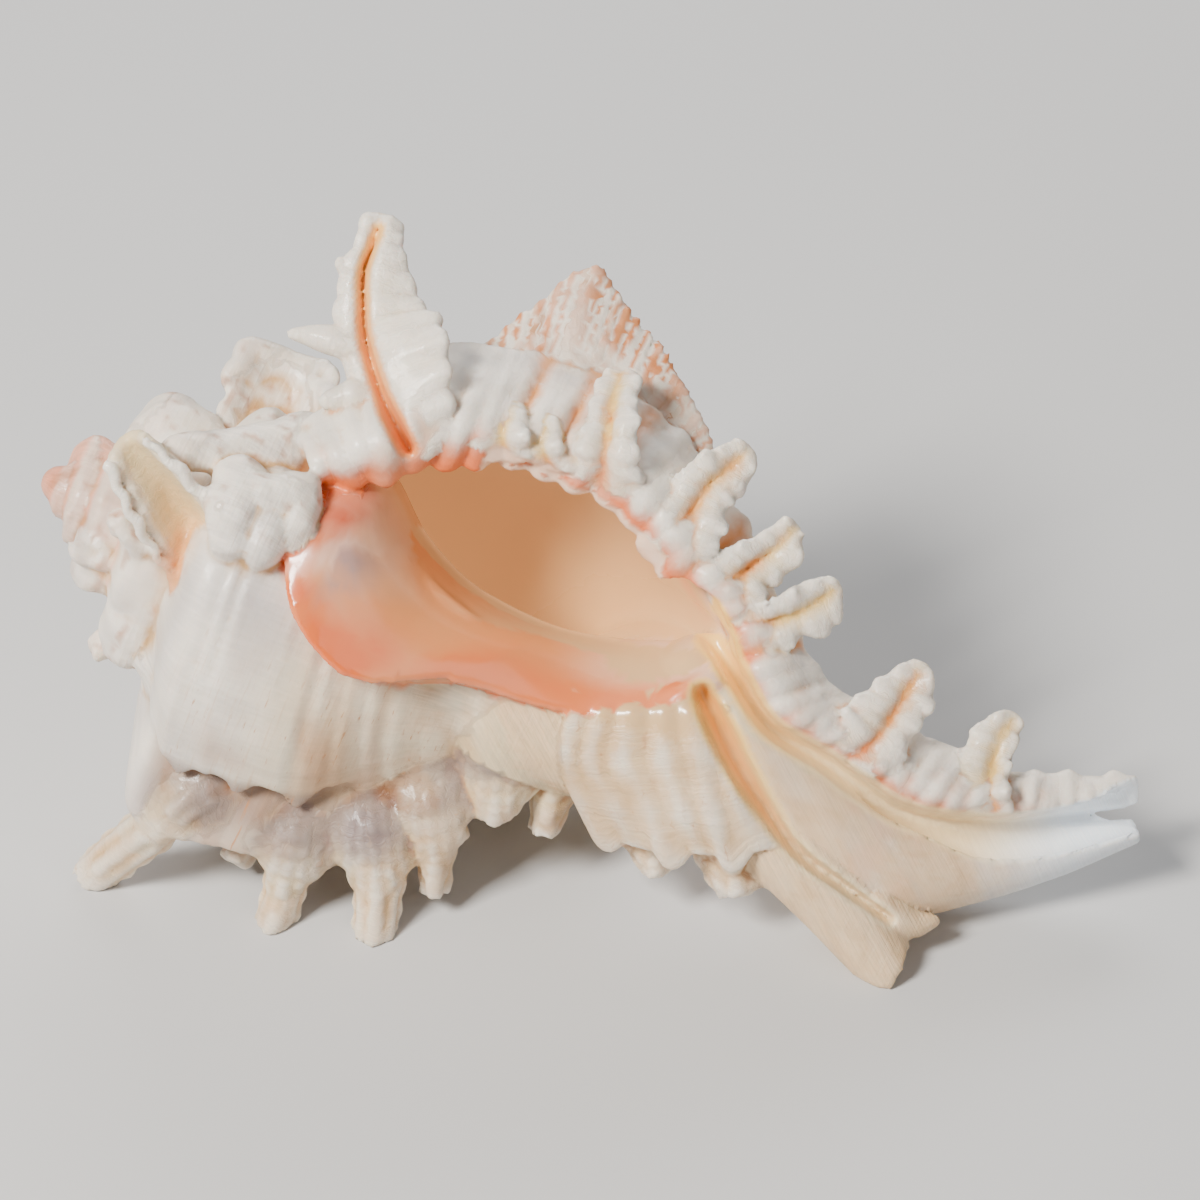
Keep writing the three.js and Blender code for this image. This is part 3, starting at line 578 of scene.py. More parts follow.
def collar_points(rows, columns):
    """The collar's front and back, as nets from the margin to the edge, with folds and frills."""
    margin, edge, root = (curve(line, rows) for line in zip(*COLLAR))
    run = np.concatenate([[0], np.cumsum(np.linalg.norm(np.diff(margin, axis=0), axis=1))])
    v, bulge = curve(COLLAR_BULGES, columns).T
    out = edge - margin
    face = margin[:, None] + out[:, None] * v[None, :, None]
    folds = np.array([np.interp(frond[0][0], margin[:, 0], run) for frond in LIP_FRONDS[1:]])
    valley = bell(run[:, None], folds[None, :], 1.5).sum(1)
    crest = 0.6 * wobble(run / 3.1, 0.5, 33) + 0.35 * np.cos(run * 2 * np.pi / 3.4)
    width = np.linalg.norm(out, axis=1)[:, None]
    lift = (crest - 1.8 * valley)[:, None] * np.sin(np.pi * np.clip(v * 0.9 + 0.1, 0, 1))[None, :]
    face[..., 1] -= bulge[None, :] * width + lift
    scallop = 0.6 * np.sin(run * 2 * np.pi / 5.2) + 0.6 * wobble(run / 2.4, 0.5, 31)
    frill = 0.9 * wobble(run / 2.2, 3.5, 32)
    shift = scallop[:, None] * (1 - v)[None, :] ** 2 + frill[:, None] * v[None, :] ** 2
    face += unit(out)[:, None] * shift[..., None]
    back = root[:, None] + (edge + np.array([0, 3.5, -1]) - root)[:, None] * v[None, :, None]
    return face, back, run / run[-1], valley


def add_collar(cloud):
    face, back, down, valley = collar_points(300, 26)
    v = np.linspace(0, 1, face.shape[1])
    for share in (0, 0.3, 0.6, 0.9):
        net = face * (1 - share) + back * share
        glow = valley[:, None] * (share == 0)
        cloud.add(net, 1.4 - 0.45 * v**2, COLLAR_, np.minimum(v + share, 1), down[:, None], glow)


def add_fan(cloud):
    """The broad ribbed blade, a net from its base to its finely toothed edge."""
    edge = curve([(a, -9, o) for a, o in FAN_EDGE], 96)
    root = curve([(a, -11, o) for a, o in FAN_BASE], 96)
    t, v = np.linspace(0, 1, 96), np.linspace(0, 1, 42)
    teeth = 0.985 + 0.022 * np.sin(t * 2 * np.pi * FAN_TEETH) + 0.02 * wobble(t * 19, 0.5, 51)
    fan = root[:, None] + (edge - root)[:, None] * (v[None, :] * teeth[:, None])[..., None]
    fan[..., 1] += 2.4 * v[None, :] ** 2 + 0.28 * v[None, :] * np.cos(t * 2 * np.pi * FAN_TEETH)[:, None]
    steps = 0.25 * ((v * 9) % 1)
    fan[..., 1] += 1.8 * np.cos((t - 0.5) * 5)[:, None] * v[None, :] - 1.2 - steps[None, :]
    cloud.add(fan, 1.25 - 0.5 * v, FAN, t[:, None], v)


def add_callus(cloud):
    """The shield's net of balls, which stays behind its face and is chipped along its rim."""
    net = patch(CALLUS, 120, 36)
    q = np.linspace(0, 1, net.shape[0])[:, None]
    c = np.linspace(0, 1, net.shape[1])[None, :]
    ragged = 0.9 * wobble(q * 26, 0.5 + 0 * c, 71) + 0.6 * wobble(q * 60, 0.5 + 0 * c, 72)
    notch = 2.2 * bell(q, 0.565, 0.009)
    inward = unit(net[:, 4] - net[:, 0])[:, None]
    net = net + inward * ((ragged * ramp(q, 0.3, 0.5) + notch) * (1 - c) ** 3)[..., None]
    normal = unit(np.cross(np.gradient(net, axis=0), np.gradient(net, axis=1)))
    normal = normal * np.sign(-normal[..., 1:2])
    radius = 0.8 + 1.4 * ramp(c, 0, 0.25)
    face = net - normal * (radius - 0.5)[..., None]
    for depth in (0, 2.2, 4.4, 6.6):
        layer = face + np.array([0, depth, -0.25 * depth]) * ramp(c, 0, 0.3)[..., None]
        cloud.add(layer, radius, CALLUS_, c, q)


def add_apron(cloud):
    net = patch(APRON, 48, 60)
    q = np.linspace(0, 1, net.shape[0])[:, None]
    c = np.linspace(0, 1, net.shape[1])[None, :]
    net[..., 1] -= 0.34 * np.cos(c * 2 * np.pi * 5.5 + 1.6 * wobble(q * 3, c * 4, 61))
    net[..., 1] -= 0.6 * wobble(q * 4 + 3, c * 3, 62)
    fringe = np.maximum(0, np.sin(c * np.pi * 5.5 + 0.7)) * ramp(q, 0.7, 1)
    net = net + np.array([1.0, 0.4, -2.6]) * fringe[..., None]
    for depth in (0, 2.4):
        cloud.add(net + np.array([0, depth, 0]), 1.5 - 0.5 * ramp(q, 0.7, 1), FOOT, c * 2 - 1, q * 0.6)


def carve(cloud, rows, depth, kind):
    """A channel that narrows as it runs back from its path."""
    spacing = 0.6 if kind == SLIT_ else 0.4
    path, _, _ = spread(rows, spacing)
    down = np.linspace(0, 1, len(path))
    for back in np.arange(-2.0, depth, spacing + 0.1):
        thin = np.clip(1 - max(back, 0) / (depth * 1.5), 0.25, 1)
        cloud.add(path[:, :3] + np.array([0, back, 0]), path[:, 3] * thin, kind, 0, down, back / depth)


def build_clouds():
    base, lip, shield, tubes, cuts = Cloud(), Cloud(), Cloud(), Cloud(), Cloud()

    rod(base, COLUMELLA, BODY, 1.6)
    for rows in TOP_KNOBS + SHOULDER_LUMPS:
        rod(base, rows, KNOB, 1.2)
    scoop(base, CREST, TO_VIEW, KNOB, ribs=0.3, ruffle=0.06, seed=4, thick=1.8)
    varix_fronds(base, 120, BACK_FRONDS, FOOT)
    for age in (540, 655, 870, 980):
        varix_fronds(base, age, SPIRE_KNOBS, KNOB, ribs=0.1)

    for n, rows in enumerate(LIP_FRONDS):
        if n == 0:
            leaf(lip, rows, TO_MOUTH, FROND, ruffle=0.3, seed=n, thick=1.8, gape=0.9, pleat=0.08)
        else:
            leaf(lip, rows, TO_MOUTH, FROND, ruffle=0.36, seed=n, gape=1.6)
    for rows in PRONGS:
        rod(lip, rows, FROND, 0.8)
    for n, rows in enumerate(FOOT_FRONDS):
        tip, ahead = scoop(lip, rows, TO_BACK, FOOT, ribs=0.42, ruffle=0.09, seed=40 + n, thick=1.5)
        lip.break_off(tip - 0.9 * ahead, ahead, rows[-1][3] + 2.5, 40 + n)
    scoop(lip, SHOULDER_FROND, TO_FOOT, FROND, ruffle=0.07, seed=60, thick=1.25)
    add_collar(lip)
    add_fan(lip)
    add_callus(shield)
    add_apron(tubes)

    end, ahead = rod(tubes, CANAL, CANAL_, 0.7)
    tubes.break_off(end - 1.2 * ahead, ahead + np.array([0, 0, -0.25]), 8.0, 67)
    stub, ahead = rod(tubes, OLD_CANAL, STUB, 0.9)
    tubes.break_off(stub, ahead + np.array([0.3, 0, 0.5]), 7.0, 66)
    rod(tubes, OLD_TIP_FLAP, STUB, 0.7)

    carve(cuts, SLIT, SLIT_DEPTH, SLIT_)
    carve(cuts, GROOVE, GROOVE_DEPTH, GROOVE_)
    carve(cuts, GUTTER, GUTTER_DEPTH, GUTTER_)
    rod(cuts, CANAL_BORE, SLIT_)
    return base, lip, shield, tubes, cuts


def growth_in_mouth(azimuth):
    """Growth angle in the aperture's hollow, which runs back less than a turn from the lip."""
    growth = -np.mod(azimuth - LIP_AZIMUTH, 360.0)
    return np.where(growth < -APERTURE_DEPTH - 40, growth + 360, growth)


def round_axis():
    """Radius and azimuth of the grid's points about the coiling axis."""
    away, out = np.meshgrid(axes[1], axes[2], indexing="ij")
    radius = np.hypot(away, out).astype(np.float32)
    return radius, np.degrees(np.arctan2(away, out)).astype(np.float32)


def whorl_parts(azimuth):
    """Growth angle, and degrees past the lip, of each turn that passes an azimuth."""
    first = -np.mod(azimuth - LIP_AZIMUTH, 360.0)
    turns = [(first - 360.0 * k, np.zeros_like(first)) for k in range(6)]
    beyond = first + 360.0
    turns.insert(0, (np.zeros_like(first), np.where(beyond < 40, beyond, 400.0)))
    return turns


def whorls_field():
    radius, azimuth = round_axis()
    values = np.full(shape, FAR, np.float32)
    for n, (growth, beyond) in enumerate(whorl_parts(azimuth)):
        growth = growth.astype(np.float32)
        reach = 190.0 if n < 2 else 78.0 * float(size_at(growth.max()))
        last = max(4, int((reach - LOW[0]) / STEP))
        along = axes[0][:last, None, None]
        d, _ = section_field(along, radius[None], growth[None])
        gone = np.where(growth < OLDEST_GROWTH, FAR, -FAR)[None]
        cut = (np.sin(np.radians(np.minimum(beyond, 90.0))) * radius)[None] if n == 0 else gone
        d = np.maximum(d, cut)
        block = values[:last]
        np.minimum(block, d.astype(np.float32), out=block)
    ball = np.sqrt((axes[0][:, None, None] - 1.2) ** 2 + (radius**2)[None]) - 2.2
    core = radius[None] - 0.047 * np.maximum(axes[0], 0)[:, None, None] + 0 * values
    core = np.maximum(core, np.maximum(-axes[0], axes[0] - 125)[:, None, None])
    return np.minimum(np.minimum(values, ball), core).astype(np.float32)


def mouth_grid():
    radius, azimuth = round_axis()
    growth = growth_in_mouth(azimuth)[None]
    return mouth_field(axes[0][:, None, None], radius[None], growth).astype(np.float32)


def lumpy(coarse, fine):
    """Solid noise over the grid, in millimetres, from a coarse and a fine lattice."""
    total = np.zeros(shape, np.float32)
    for seed, (cell, height) in enumerate((coarse, fine)):
        lattice = np.random.default_rng(90 + seed).uniform(-1, 1, (48, 48, 48)).astype(np.float32)
        index, share = [], []
        for v, low in zip(axes, LOW):
            t = (v - low) / cell
            i = np.floor(t).astype(int)
            f = (t - i).astype(np.float32)
            index.append(i % 47)
            share.append(f * f * (3 - 2 * f))
        (i, j, k), (u, v, w) = index, share
        u, v = u[:, None, None], v[None, :, None]
        rows = lattice[i] * (1 - u) + lattice[i + 1] * u
        rows = rows[:, j] * (1 - v) + rows[:, j + 1] * v
        total += height * (rows[:, :, k] * (1 - w) + rows[:, :, k + 1] * w)
    return total


def floor_field():
    """Depth below the table, from each grid point's height in the row frame."""
    c, s = math.cos(math.radians(AXIS_TILT)), math.sin(math.radians(AXIS_TILT))
    cf, sf = math.cos(math.radians(FACE_TILT)), math.sin(math.radians(FACE_TILT))
    along, away, out = axes[0][:, None, None], axes[1][None, :, None], axes[2][None, None, :]
    return -(ORIGIN[2] - away * sf + (-along * s + out * c) * cf)


def sculpt():
    base, lip, shield, tubes, cuts = build_clouds()
    noise = lumpy((5.2, 0.7), (2.3, 0.35))
    f = soft_min(whorls_field(), base.field() + noise, 2.2)
    f = soft_max(f, -mouth_grid(), 0.9)
    f = soft_min(f, lip.field() + 0.45 * noise, 1.5)
    f = soft_min(f, tubes.field(), 2.2)
    f = soft_min(f, shield.field(), 0.5)
    f = soft_max(f, -cuts.field(), 0.7)
    f = np.maximum(f, floor_field())
    return f.astype(np.float32), (base, lip, shield, tubes), cuts


def net_of(values):
    """Surface net of a field: one vertex in each cell that the surface crosses."""
    low = values < 0
    count = np.zeros(tuple(n - 1 for n in values.shape), np.int8)
    corners = [(i, j, k) for i in (0, 1) for j in (0, 1) for k in (0, 1)]
    nx, ny, nz = count.shape
    for i, j, k in corners:
        count += low[i:i + nx, j:j + ny, k:k + nz]
    cells = np.argwhere((count > 0) & (count < 8))
    index = np.full(count.shape, -1, np.int32)
    index[tuple(cells.T)] = np.arange(len(cells))
    total = np.zeros((len(cells), 3))
    hits = np.zeros(len(cells))
    for a in corners:
        for axis in range(3):
            if a[axis]:
                continue
            b = tuple(1 if m == axis else a[m] for m in range(3))
            fa = values[tuple((cells + a).T)].astype(float)
            fb = values[tuple((cells + b).T)].astype(float)
            crossed = (fa < 0) != (fb < 0)
            t = np.where(crossed, fa / np.where(crossed, fa - fb, 1), 0)
            point = np.array(a, float) + t[:, None] * (np.array(b) - a)
            total += np.where(crossed[:, None], point, 0)
            hits += crossed
    points = LOW + (cells + total / hits[:, None]) * STEP
    quads = []
    for axis in range(3):
        b, c = [m for m in range(3) if m != axis]
        inner = [slice(1, -1)] * 3
        inner[axis] = slice(0, -1)
        here = low[tuple(inner)]
        inner[axis] = slice(1, None)
        there = low[tuple(inner)]
        edges = np.argwhere(here != there)
        filled_here = here[tuple(edges.T)]
        edges[:, b] += 1
        edges[:, c] += 1
        ring = []
        for db, dc in ((1, 1), (0, 1), (0, 0), (1, 0)):
            at = edges.copy()
            at[:, b] -= db
            at[:, c] -= dc
            ring.append(index[tuple(at.T)])
        ring = np.stack(ring, 1)
        turn = filled_here if axis != 1 else ~filled_here
        quads.append(np.where(turn[:, None], ring, ring[:, ::-1]))
    return points, np.concatenate(quads)


def largest_part(points, quads):
    """Keeps the outer surface and drops what is sealed inside."""
    label = np.arange(len(points))
    while True:
        low = label[quads].min(1)
        new = label.copy()
        np.minimum.at(new, quads.reshape(-1), np.repeat(low, 4))
        new = new[new]
        if (new == label).all():
            break
        label = new
    main = np.bincount(label).argmax()
    keep = label == main
    order = np.cumsum(keep) - 1
    return points[keep], order[quads[keep[quads[:, 0]]]]


# What each point is

def rgb(code):
    """A colour from six hex digits, as linear light."""
    v = np.array([int(code[i:i + 2], 16) / 255 for i in (0, 2, 4)])
    return np.where(v <= 0.04045, v / 12.92, ((v + 0.055) / 1.055) ** 2.4)


def mix(a, b, t):
    return a + (b - a) * np.asarray(t)[..., None]


WHITE, CREAM, GREY = rgb("F0E6D8"), rgb("E6CFA2"), rgb("C6BDB8")
# the grey-mauve colour serves both the worn grey spot and painted shade in the recess, under the shell
# and on the canal's far side
SAND, OCHRE, BROWN, STAIN_AND_SHADE = rgb("CDA26E"), rgb("AE6426"), rgb("7A4520"), rgb("7F6C6A")
TAN, DEEP_TAN = rgb("DDB684"), rgb("D6AA74")
ORANGE, PEACH, PINK, MAUVE = rgb("E05A10"), rgb("E9975A"), rgb("F0B890"), rgb("A6877F")
SALMON, AMBER, YELLOW, ICE = rgb("E8743A"), rgb("E88A20"), rgb("F2C56A"), rgb("E0E8F0")
BLUSH, RUST, EMBER = rgb("F0CDB4"), rgb("B4560F"), rgb("B83206")
GREY_SPOT = (71, -6, -29)  # worn grey place among the foot fronds
GREY_SPOT_REACH = 6.5


def nearest(cloud_parts, points):
    """For every point the marks of the ball that it lies on, and how far outside that ball."""
    packs = [c.all() for c in cloud_parts]
    centres = np.concatenate([p[0] for p in packs])
    radii = np.concatenate([p[1] for p in packs])
    marks = np.concatenate([p[2] for p in packs])
    small = np.flatnonzero(radii < BIG_BALL)
    tree = kdtree.KDTree(len(small))
    for i in small:
        tree.insert(centres[i], i)
    tree.balance()
    found = [tree.find(p) for p in points]
    near = np.array([f[1] for f in found])
    skin = np.array([f[2] for f in found]) - radii[near]
    for i in np.flatnonzero(radii >= BIG_BALL):
        d = np.linalg.norm(points - centres[i], axis=1) - radii[i]
        closer = d < skin
        near[closer], skin[closer] = i, d[closer]
    return marks[near], skin


def sunken(points, edges, normals, rounds):
    """How far each vertex lies below the smoothed surface round it, in millimetres."""
    ends = np.concatenate([edges, edges[:, ::-1]])
    count = np.bincount(ends[:, 0], minlength=len(points))[:, None]
    smooth = points
    for _ in range(rounds):
        near = [np.bincount(ends[:, 0], smooth[ends[:, 1], k], len(points)) for k in range(3)]
        smooth = 0.3 * smooth + 0.7 * np.stack(near, 1) / count
    return ((smooth - points) * normals).sum(1)


def whorl_place(points):
    """The growth angle, and the outline's own along, of the whorl surface next to each point."""
    along, away, out = points.T
    radius = np.hypot(away, out)
    azimuth = np.degrees(np.arctan2(away, out))
    best = np.full(len(points), 1e9)
    growth = np.zeros(len(points))
    row = np.zeros(len(points))
    for g, beyond in whorl_parts(azimuth):
        d, a = section_field(along, radius, g)
        d = np.where((g < OLDEST_GROWTH) | (beyond > 30), 1e9, np.abs(d))
        closer = d < best
        best = np.where(closer, d, best)
        growth = np.where(closer, g, growth)
        row = np.where(closer, a, row)
    return growth, row, radius, azimuth


class Paint:
    """Colour, gloss and roughness of every vertex, laid on in coats."""

    def __init__(self, count):
        self.colour = np.broadcast_to(WHITE, (count, 3))
        self.gloss = np.full(count, 0.35)
        self.rough = np.ones(count)

    def coat(self, colour, share):
        self.colour = mix(self.colour, colour, np.clip(share, 0, 1))

    def coats(self, area, rows):
        for colour, share in rows:
            self.coat(colour, area * share)

    def glaze(self, share, gloss):
        self.gloss = np.maximum(self.gloss, share * gloss)
        self.rough = self.rough * (1 - 0.95 * np.clip(share, 0, 1))


def describe(points, dips, clouds, cuts):
    """The material's attributes for every vertex: its tint, single values and flow."""
    along, away, out = points.T
    growth, row, radius, azimuth = whorl_place(points)
    size = size_at(growth)
    mouth_growth = growth_in_mouth(azimuth)
    mouth = mouth_field(along, radius, mouth_growth)
    inside = ramp(mouth, 1.3, 0.5) * (along < 122) * (mouth_growth < 6)
    marks, skin = nearest(clouds, points)
    kind = np.where(skin < 1.6, marks[:, 0], BODY).astype(int)
    across, down, glow = marks[:, 1], marks[:, 2], marks[:, 3]
    own = ramp(skin, 1.6, 0.8)
    cut_marks, cut_skin = nearest((cuts,), points)
    carved = ramp(np.abs(cut_skin), 1.1, 0.4)
    small_dip, broad_dip = dips
    # painted shade in creases and hollows, where the surface sinks below its smoothed surroundings, and
    # painted highlight on raised ridges, where it bulges above them
    painted_crease_shade = ramp(small_dip, 0.02, 0.2) * 0.6 + ramp(broad_dip, 0.05, 0.7) * 0.6
    painted_ridge_light = ramp(-small_dip, 0.02, 0.16) * 0.5 + ramp(-broad_dip, 0.05, 0.5) * 0.5

    n1 = wobble(along / 9 + 3, out / 9 + away / 11, 81)
    n2 = wobble(along / 3 + 7, out / 3 + away / 4, 82)
    n3 = wobble(growth / 12, row / 9, 83)
    n4 = wobble(along / 17 + 5, out / 14 + away / 13, 84)
    n5 = wobble(along / 1.7 + 2, out / 1.7 + away / 1.9, 85)
    paint = Paint(len(points))

    paint.coat(GREY, 0.35 + 0.6 * n1 + 0.3 * wobble(row / 4, growth / 60, 87))
    paint.coat(CREAM, ramp(row, 54, 88) * 0.6 + 0.3 * n4)
    bands = np.clip(0.35 + 0.9 * wobble(row / 2.6, growth / 40, 86), 0, 1)
    paint.coat(SAND, ramp(row, 66, 84) * bands * 0.55)
    paint.coat(PINK, ramp(size, 0.5, 0.2) * 0.35)
    paint.coat(SALMON, ramp(row, 42.5, 38.5) * (size < 0.5) * 0.5)
    paint.coat(SALMON, ramp(size, 0.16, 0.1) * 0.2)
    # painted shade: sand in the body's creases
    paint.coat(SAND, painted_crease_shade * (0.4 + 0.5 * n2) * 0.8)
    freckles = ramp(n5 + 0.5 * n2, 0.45, 0.9) * ramp(-growth, 300, 330)
    paint.coat(OCHRE, freckles * 0.45)
    knob = (kind == KNOB) * own * (along > 8)
    paint.coats(knob, [
        (WHITE, 0.85),
        (GREY, ramp(n1, 0, 0.8) * 0.4),
        # painted shade: sand in the knobs' creases
        (SAND, painted_crease_shade * 0.9),
        (OCHRE, freckles * 0.5),
    ])
    stain = ramp(-growth, 192, 214) * ramp(-growth, 300, 238) * ramp(row, 44, 52) * ramp(row, 118, 98)
    paint.coat(OCHRE, np.clip(0.2 + 0.8 * n3 + 0.5 * n2, 0, 1) * stain * 0.4)
    # painted shade: brown-grey in the recess under the ledge's overhanging old edge
    recess = ramp(np.abs(growth - LEDGE - 5), 9, 3) * ramp(row, 44, 52) * ramp(row, 92, 80)
    paint.coat(mix(BROWN, STAIN_AND_SHADE, ramp(n2 + n1, -0.5, 0.2)), recess * 0.7)

    foot = (kind == FOOT) * own
    paint.coats(foot, [
        (CREAM, 0.6),
        # painted highlight: white on the foot fronds' raised ribs; painted shade: sand and ochre in their
        # creases
        (WHITE, painted_ridge_light * 0.7),
        (SAND, np.clip(0.3 + 0.6 * n2 + 0.4 * n4 + painted_crease_shade, 0, 1) * 0.6),
        (OCHRE, ramp(painted_crease_shade, 0.3, 0.9) * 0.5),
    ])
    # painted shade: brown-grey on the foot fronds' roots under the shell
    painted_shade_under = foot * (along < 92) * (out < -8) * ramp(down, 0.42, 0.2)
    paint.coat(mix(BROWN, STAIN_AND_SHADE, ramp(n2 + n1, -0.7, 0)), painted_shade_under * 0.8)
    paint.coat(WHITE, foot * ramp(down, 0.8, 0.97) * 0.7)
    # the worn grey place, kept paler on raised ridges as a painted highlight
    spot = np.linalg.norm(points - GREY_SPOT, axis=1) + 1.5 * n2
    paint.coat(STAIN_AND_SHADE, ramp(spot, GREY_SPOT_REACH, GREY_SPOT_REACH - 3.5) * (1 - 0.4 * painted_ridge_light) * 0.8)

    frond = (kind == FROND) * own
    paint.coat(WHITE, frond * 0.9)
    paint.coat(CREAM, frond * ramp(np.abs(across), 0.9, 0.35) * 0.7)
    warm = mix(YELLOW, AMBER, ramp(n4 + 0.3 * n2, -0.2, 0.5))
    paint.coats(frond, [
        # the grooves' own warm colour, deepened in the creases as painted shade
        (warm, np.clip(glow * 0.9 + painted_crease_shade * 0.6, 0, 1) * 0.9),
        (SALMON, glow * ramp(down, 0.4, 0.08) * 0.9),
        # painted highlight: white on the fronds' raised ridges
        (WHITE, painted_ridge_light * 0.75),
    ])
    tall = frond * (along < 58) * (out > 20)
    paint.coat(WHITE, tall * ramp(glow, 0.6, 0.2) * 0.6)
    scoop_inside = frond * (along < 34) * (out < 18)
    paint.coats(scoop_inside, [
        (CREAM, ramp(np.abs(across), 0.95, 0.65) * 0.85),
        (YELLOW, glow * ramp(down, 0.9, 0.3) * 0.35),
        (AMBER, ramp(down, 0.42, 0.12) * 0.8),
    ])

    collar = (kind == COLLAR_) * own
    paint.coats(collar, [
        (WHITE, 0.9),
        (GREY, ramp(n2 + n1, 0.1, 0.9) * 0.5),
        # painted shade: sand and peach in the collar's creases
        (SAND, painted_crease_shade * 0.75),
        (PEACH, ramp(painted_crease_shade, 0.5, 1) * 0.5),
        (PINK, ramp(n1 + n2, -0.1, 0.7) * ramp(across, 0.75, 0.3) * 0.6),
        (AMBER, glow * 0.75 * (along > 58) * ramp(along, 140, 120)),
        (SALMON, ramp(across, 0.34 + 0.14 * n2, 0.06)),
    ])
    # the margin's salmon blush, deepened in creases as painted shade
    blush = ramp(along, 96, 106) * ramp(across, 0.5, 0.1) * (0.35 + 0.4 * painted_crease_shade + 0.3 * n2)
    paint.coats(collar, [
        (SALMON, blush),
        (ORANGE, ramp(along, 100, 118) * ramp(across, 0.22, 0.04) * 0.55),
        # painted highlight: white on the collar's raised ridges
        (WHITE, painted_ridge_light * ramp(across, 0.15, 0.4) * 0.7),
    ])

    fan = (kind == FAN) * own
    rays = ramp(np.sin(across * 2 * np.pi * FAN_TEETH + 0.8 * n2), 0.0, 0.8)
    rays = rays * ramp(down + 0.25 * n2, 0.3, 0.85)
    paint.coats(fan, [
        (WHITE, 0.9),
        (mix(RUST, AMBER, 0.45), np.clip(rays * (0.9 + 0.5 * n1), 0, 1) * 0.9),
        (OCHRE, ramp(n5 + n2, 0.1, 0.8) * ramp(down, 0.75, 0.4) * 0.5),
    ])

    canal = (kind == CANAL_) * own
    streaks = wobble(along / 14, (out + 0.75 * along) / 1.9, 89)
    paint.coats(canal, [
        (CREAM, 0.55),
        (WHITE, ramp(n1 + streaks, -0.2, 0.9) * 0.6),
        (SAND, ramp(streaks + 0.5 * n2, 0.0, 0.7) * 0.4),
        (PINK, ramp(n2 + 0.6 * n1, 0.1, 0.7) * ramp(away, -6, -12) * 0.3),
        # partly painted shade on the canal's far, lower side, partly its grey streaks
        (STAIN_AND_SHADE, ramp(away, -10, 0) * ramp(n1 + streaks, -0.2, 0.8) * 0.3),
        (ICE, ramp(along, 158, 174) * 0.9),
    ])
    stub = (kind == STUB) * own
    paint.coat(CREAM, stub * 0.6)
    paint.coat(SAND, stub * ramp(streaks, 0, 0.8) * 0.35)
    paint.glaze(canal * 0.6, 0.6)

    callus = (kind == CALLUS_) * own
    glaze = mix(PEACH, PINK, ramp(n4 + 0.5 * n1, -0.3, 0.6))
    glaze = mix(glaze, PEACH, ramp(np.abs(across - 0.55), 0.4, 0.1) * ramp(down, 0.3, 0.5) * 0.8)
    streak = down - 0.2 - 0.1 * (across - 0.3) + 0.03 * n2
    lilac = bell(streak, 0, 0.05) * ramp(across, 0.75, 0.2) * ramp(across, 0.0, 0.1)
    glaze = mix(glaze, MAUVE, np.clip(lilac * (0.8 + 0.7 * n2), 0, 0.9))
    pale_streak = bell(streak, -0.045, 0.016) * ramp(across, 0.7, 0.3)
    glaze = mix(glaze, BLUSH, pale_streak * 0.8)
    rim = ramp(across, 0.2, 0.04) * ramp(down, 0.5, 0.3) + ramp(down + 0.1 * across, 0.15, 0.05)
    rim = rim + bell(down, 0.34, 0.08) * ramp(across, 0.5, 0.1)
    corner = bell(down, 0.09, 0.055)
    corner = corner * ramp(across, 0.02, 0.2) * ramp(across, 0.85, 0.55)
    glaze = mix(glaze, ORANGE, np.clip(rim * (0.85 + 0.3 * n2), 0, 1) * 0.8)
    glaze = mix(glaze, EMBER, np.clip(corner * (0.9 + 0.3 * n2), 0, 1) * 0.85)
    glaze = mix(glaze, SALMON, ramp(down, 0.4, 0.55) * ramp(across, 0.7, 0.2) * 0.8)
    glaze = mix(glaze, BLUSH, ramp(down, 0.6, 0.8) * ramp(across, 0.3, 0.75) * 0.85)
    glaze = mix(glaze, TAN, ramp(across, 0.75, 1.0) * ramp(down, 0.95, 0.6) * 0.6)
    paint.coat(glaze, callus)
    pillar = (kind != COLLAR_) * (kind != FROND) * (1 - callus) * ramp(mouth, 9, 6)
    pillar = pillar * ramp(radius, 29, 26) * ramp(along, 42, 46) * ramp(along, 113, 108)
    pillar = pillar * ramp(away, -24, -20) * ramp(out, -4, 2)
    paint.coat(mix(PEACH, TAN, ramp(along, 60, 90)), pillar)
    paint.glaze(np.maximum(callus, pillar), 1.0)

    deep = inside * (1 - callus) * (1 - collar * ramp(across, 0.0, 0.06))
    wall = mix(TAN, DEEP_TAN, ramp(-mouth_growth, 20, 90))
    # painted shade: ochre darkens the hollow's far, lower part, which the lamps light more than the rest
    painted_shade_far_side = ramp(along, 70, 96) * ramp(radius, 12, 22) * ramp(-mouth_growth, 10, 26)
    wall = mix(wall, OCHRE, painted_shade_far_side * 0.22)
    wall = mix(wall, SALMON, bell(mouth_growth, -17, 3.5) * ramp(radius, 22, 30) * 0.4)
    wall = mix(wall, BLUSH, ramp(mouth_growth, -13, -6) * ramp(radius, 20, 27) * 0.85)
    paint.coat(wall, deep)
    paint.glaze(deep, 0.75)

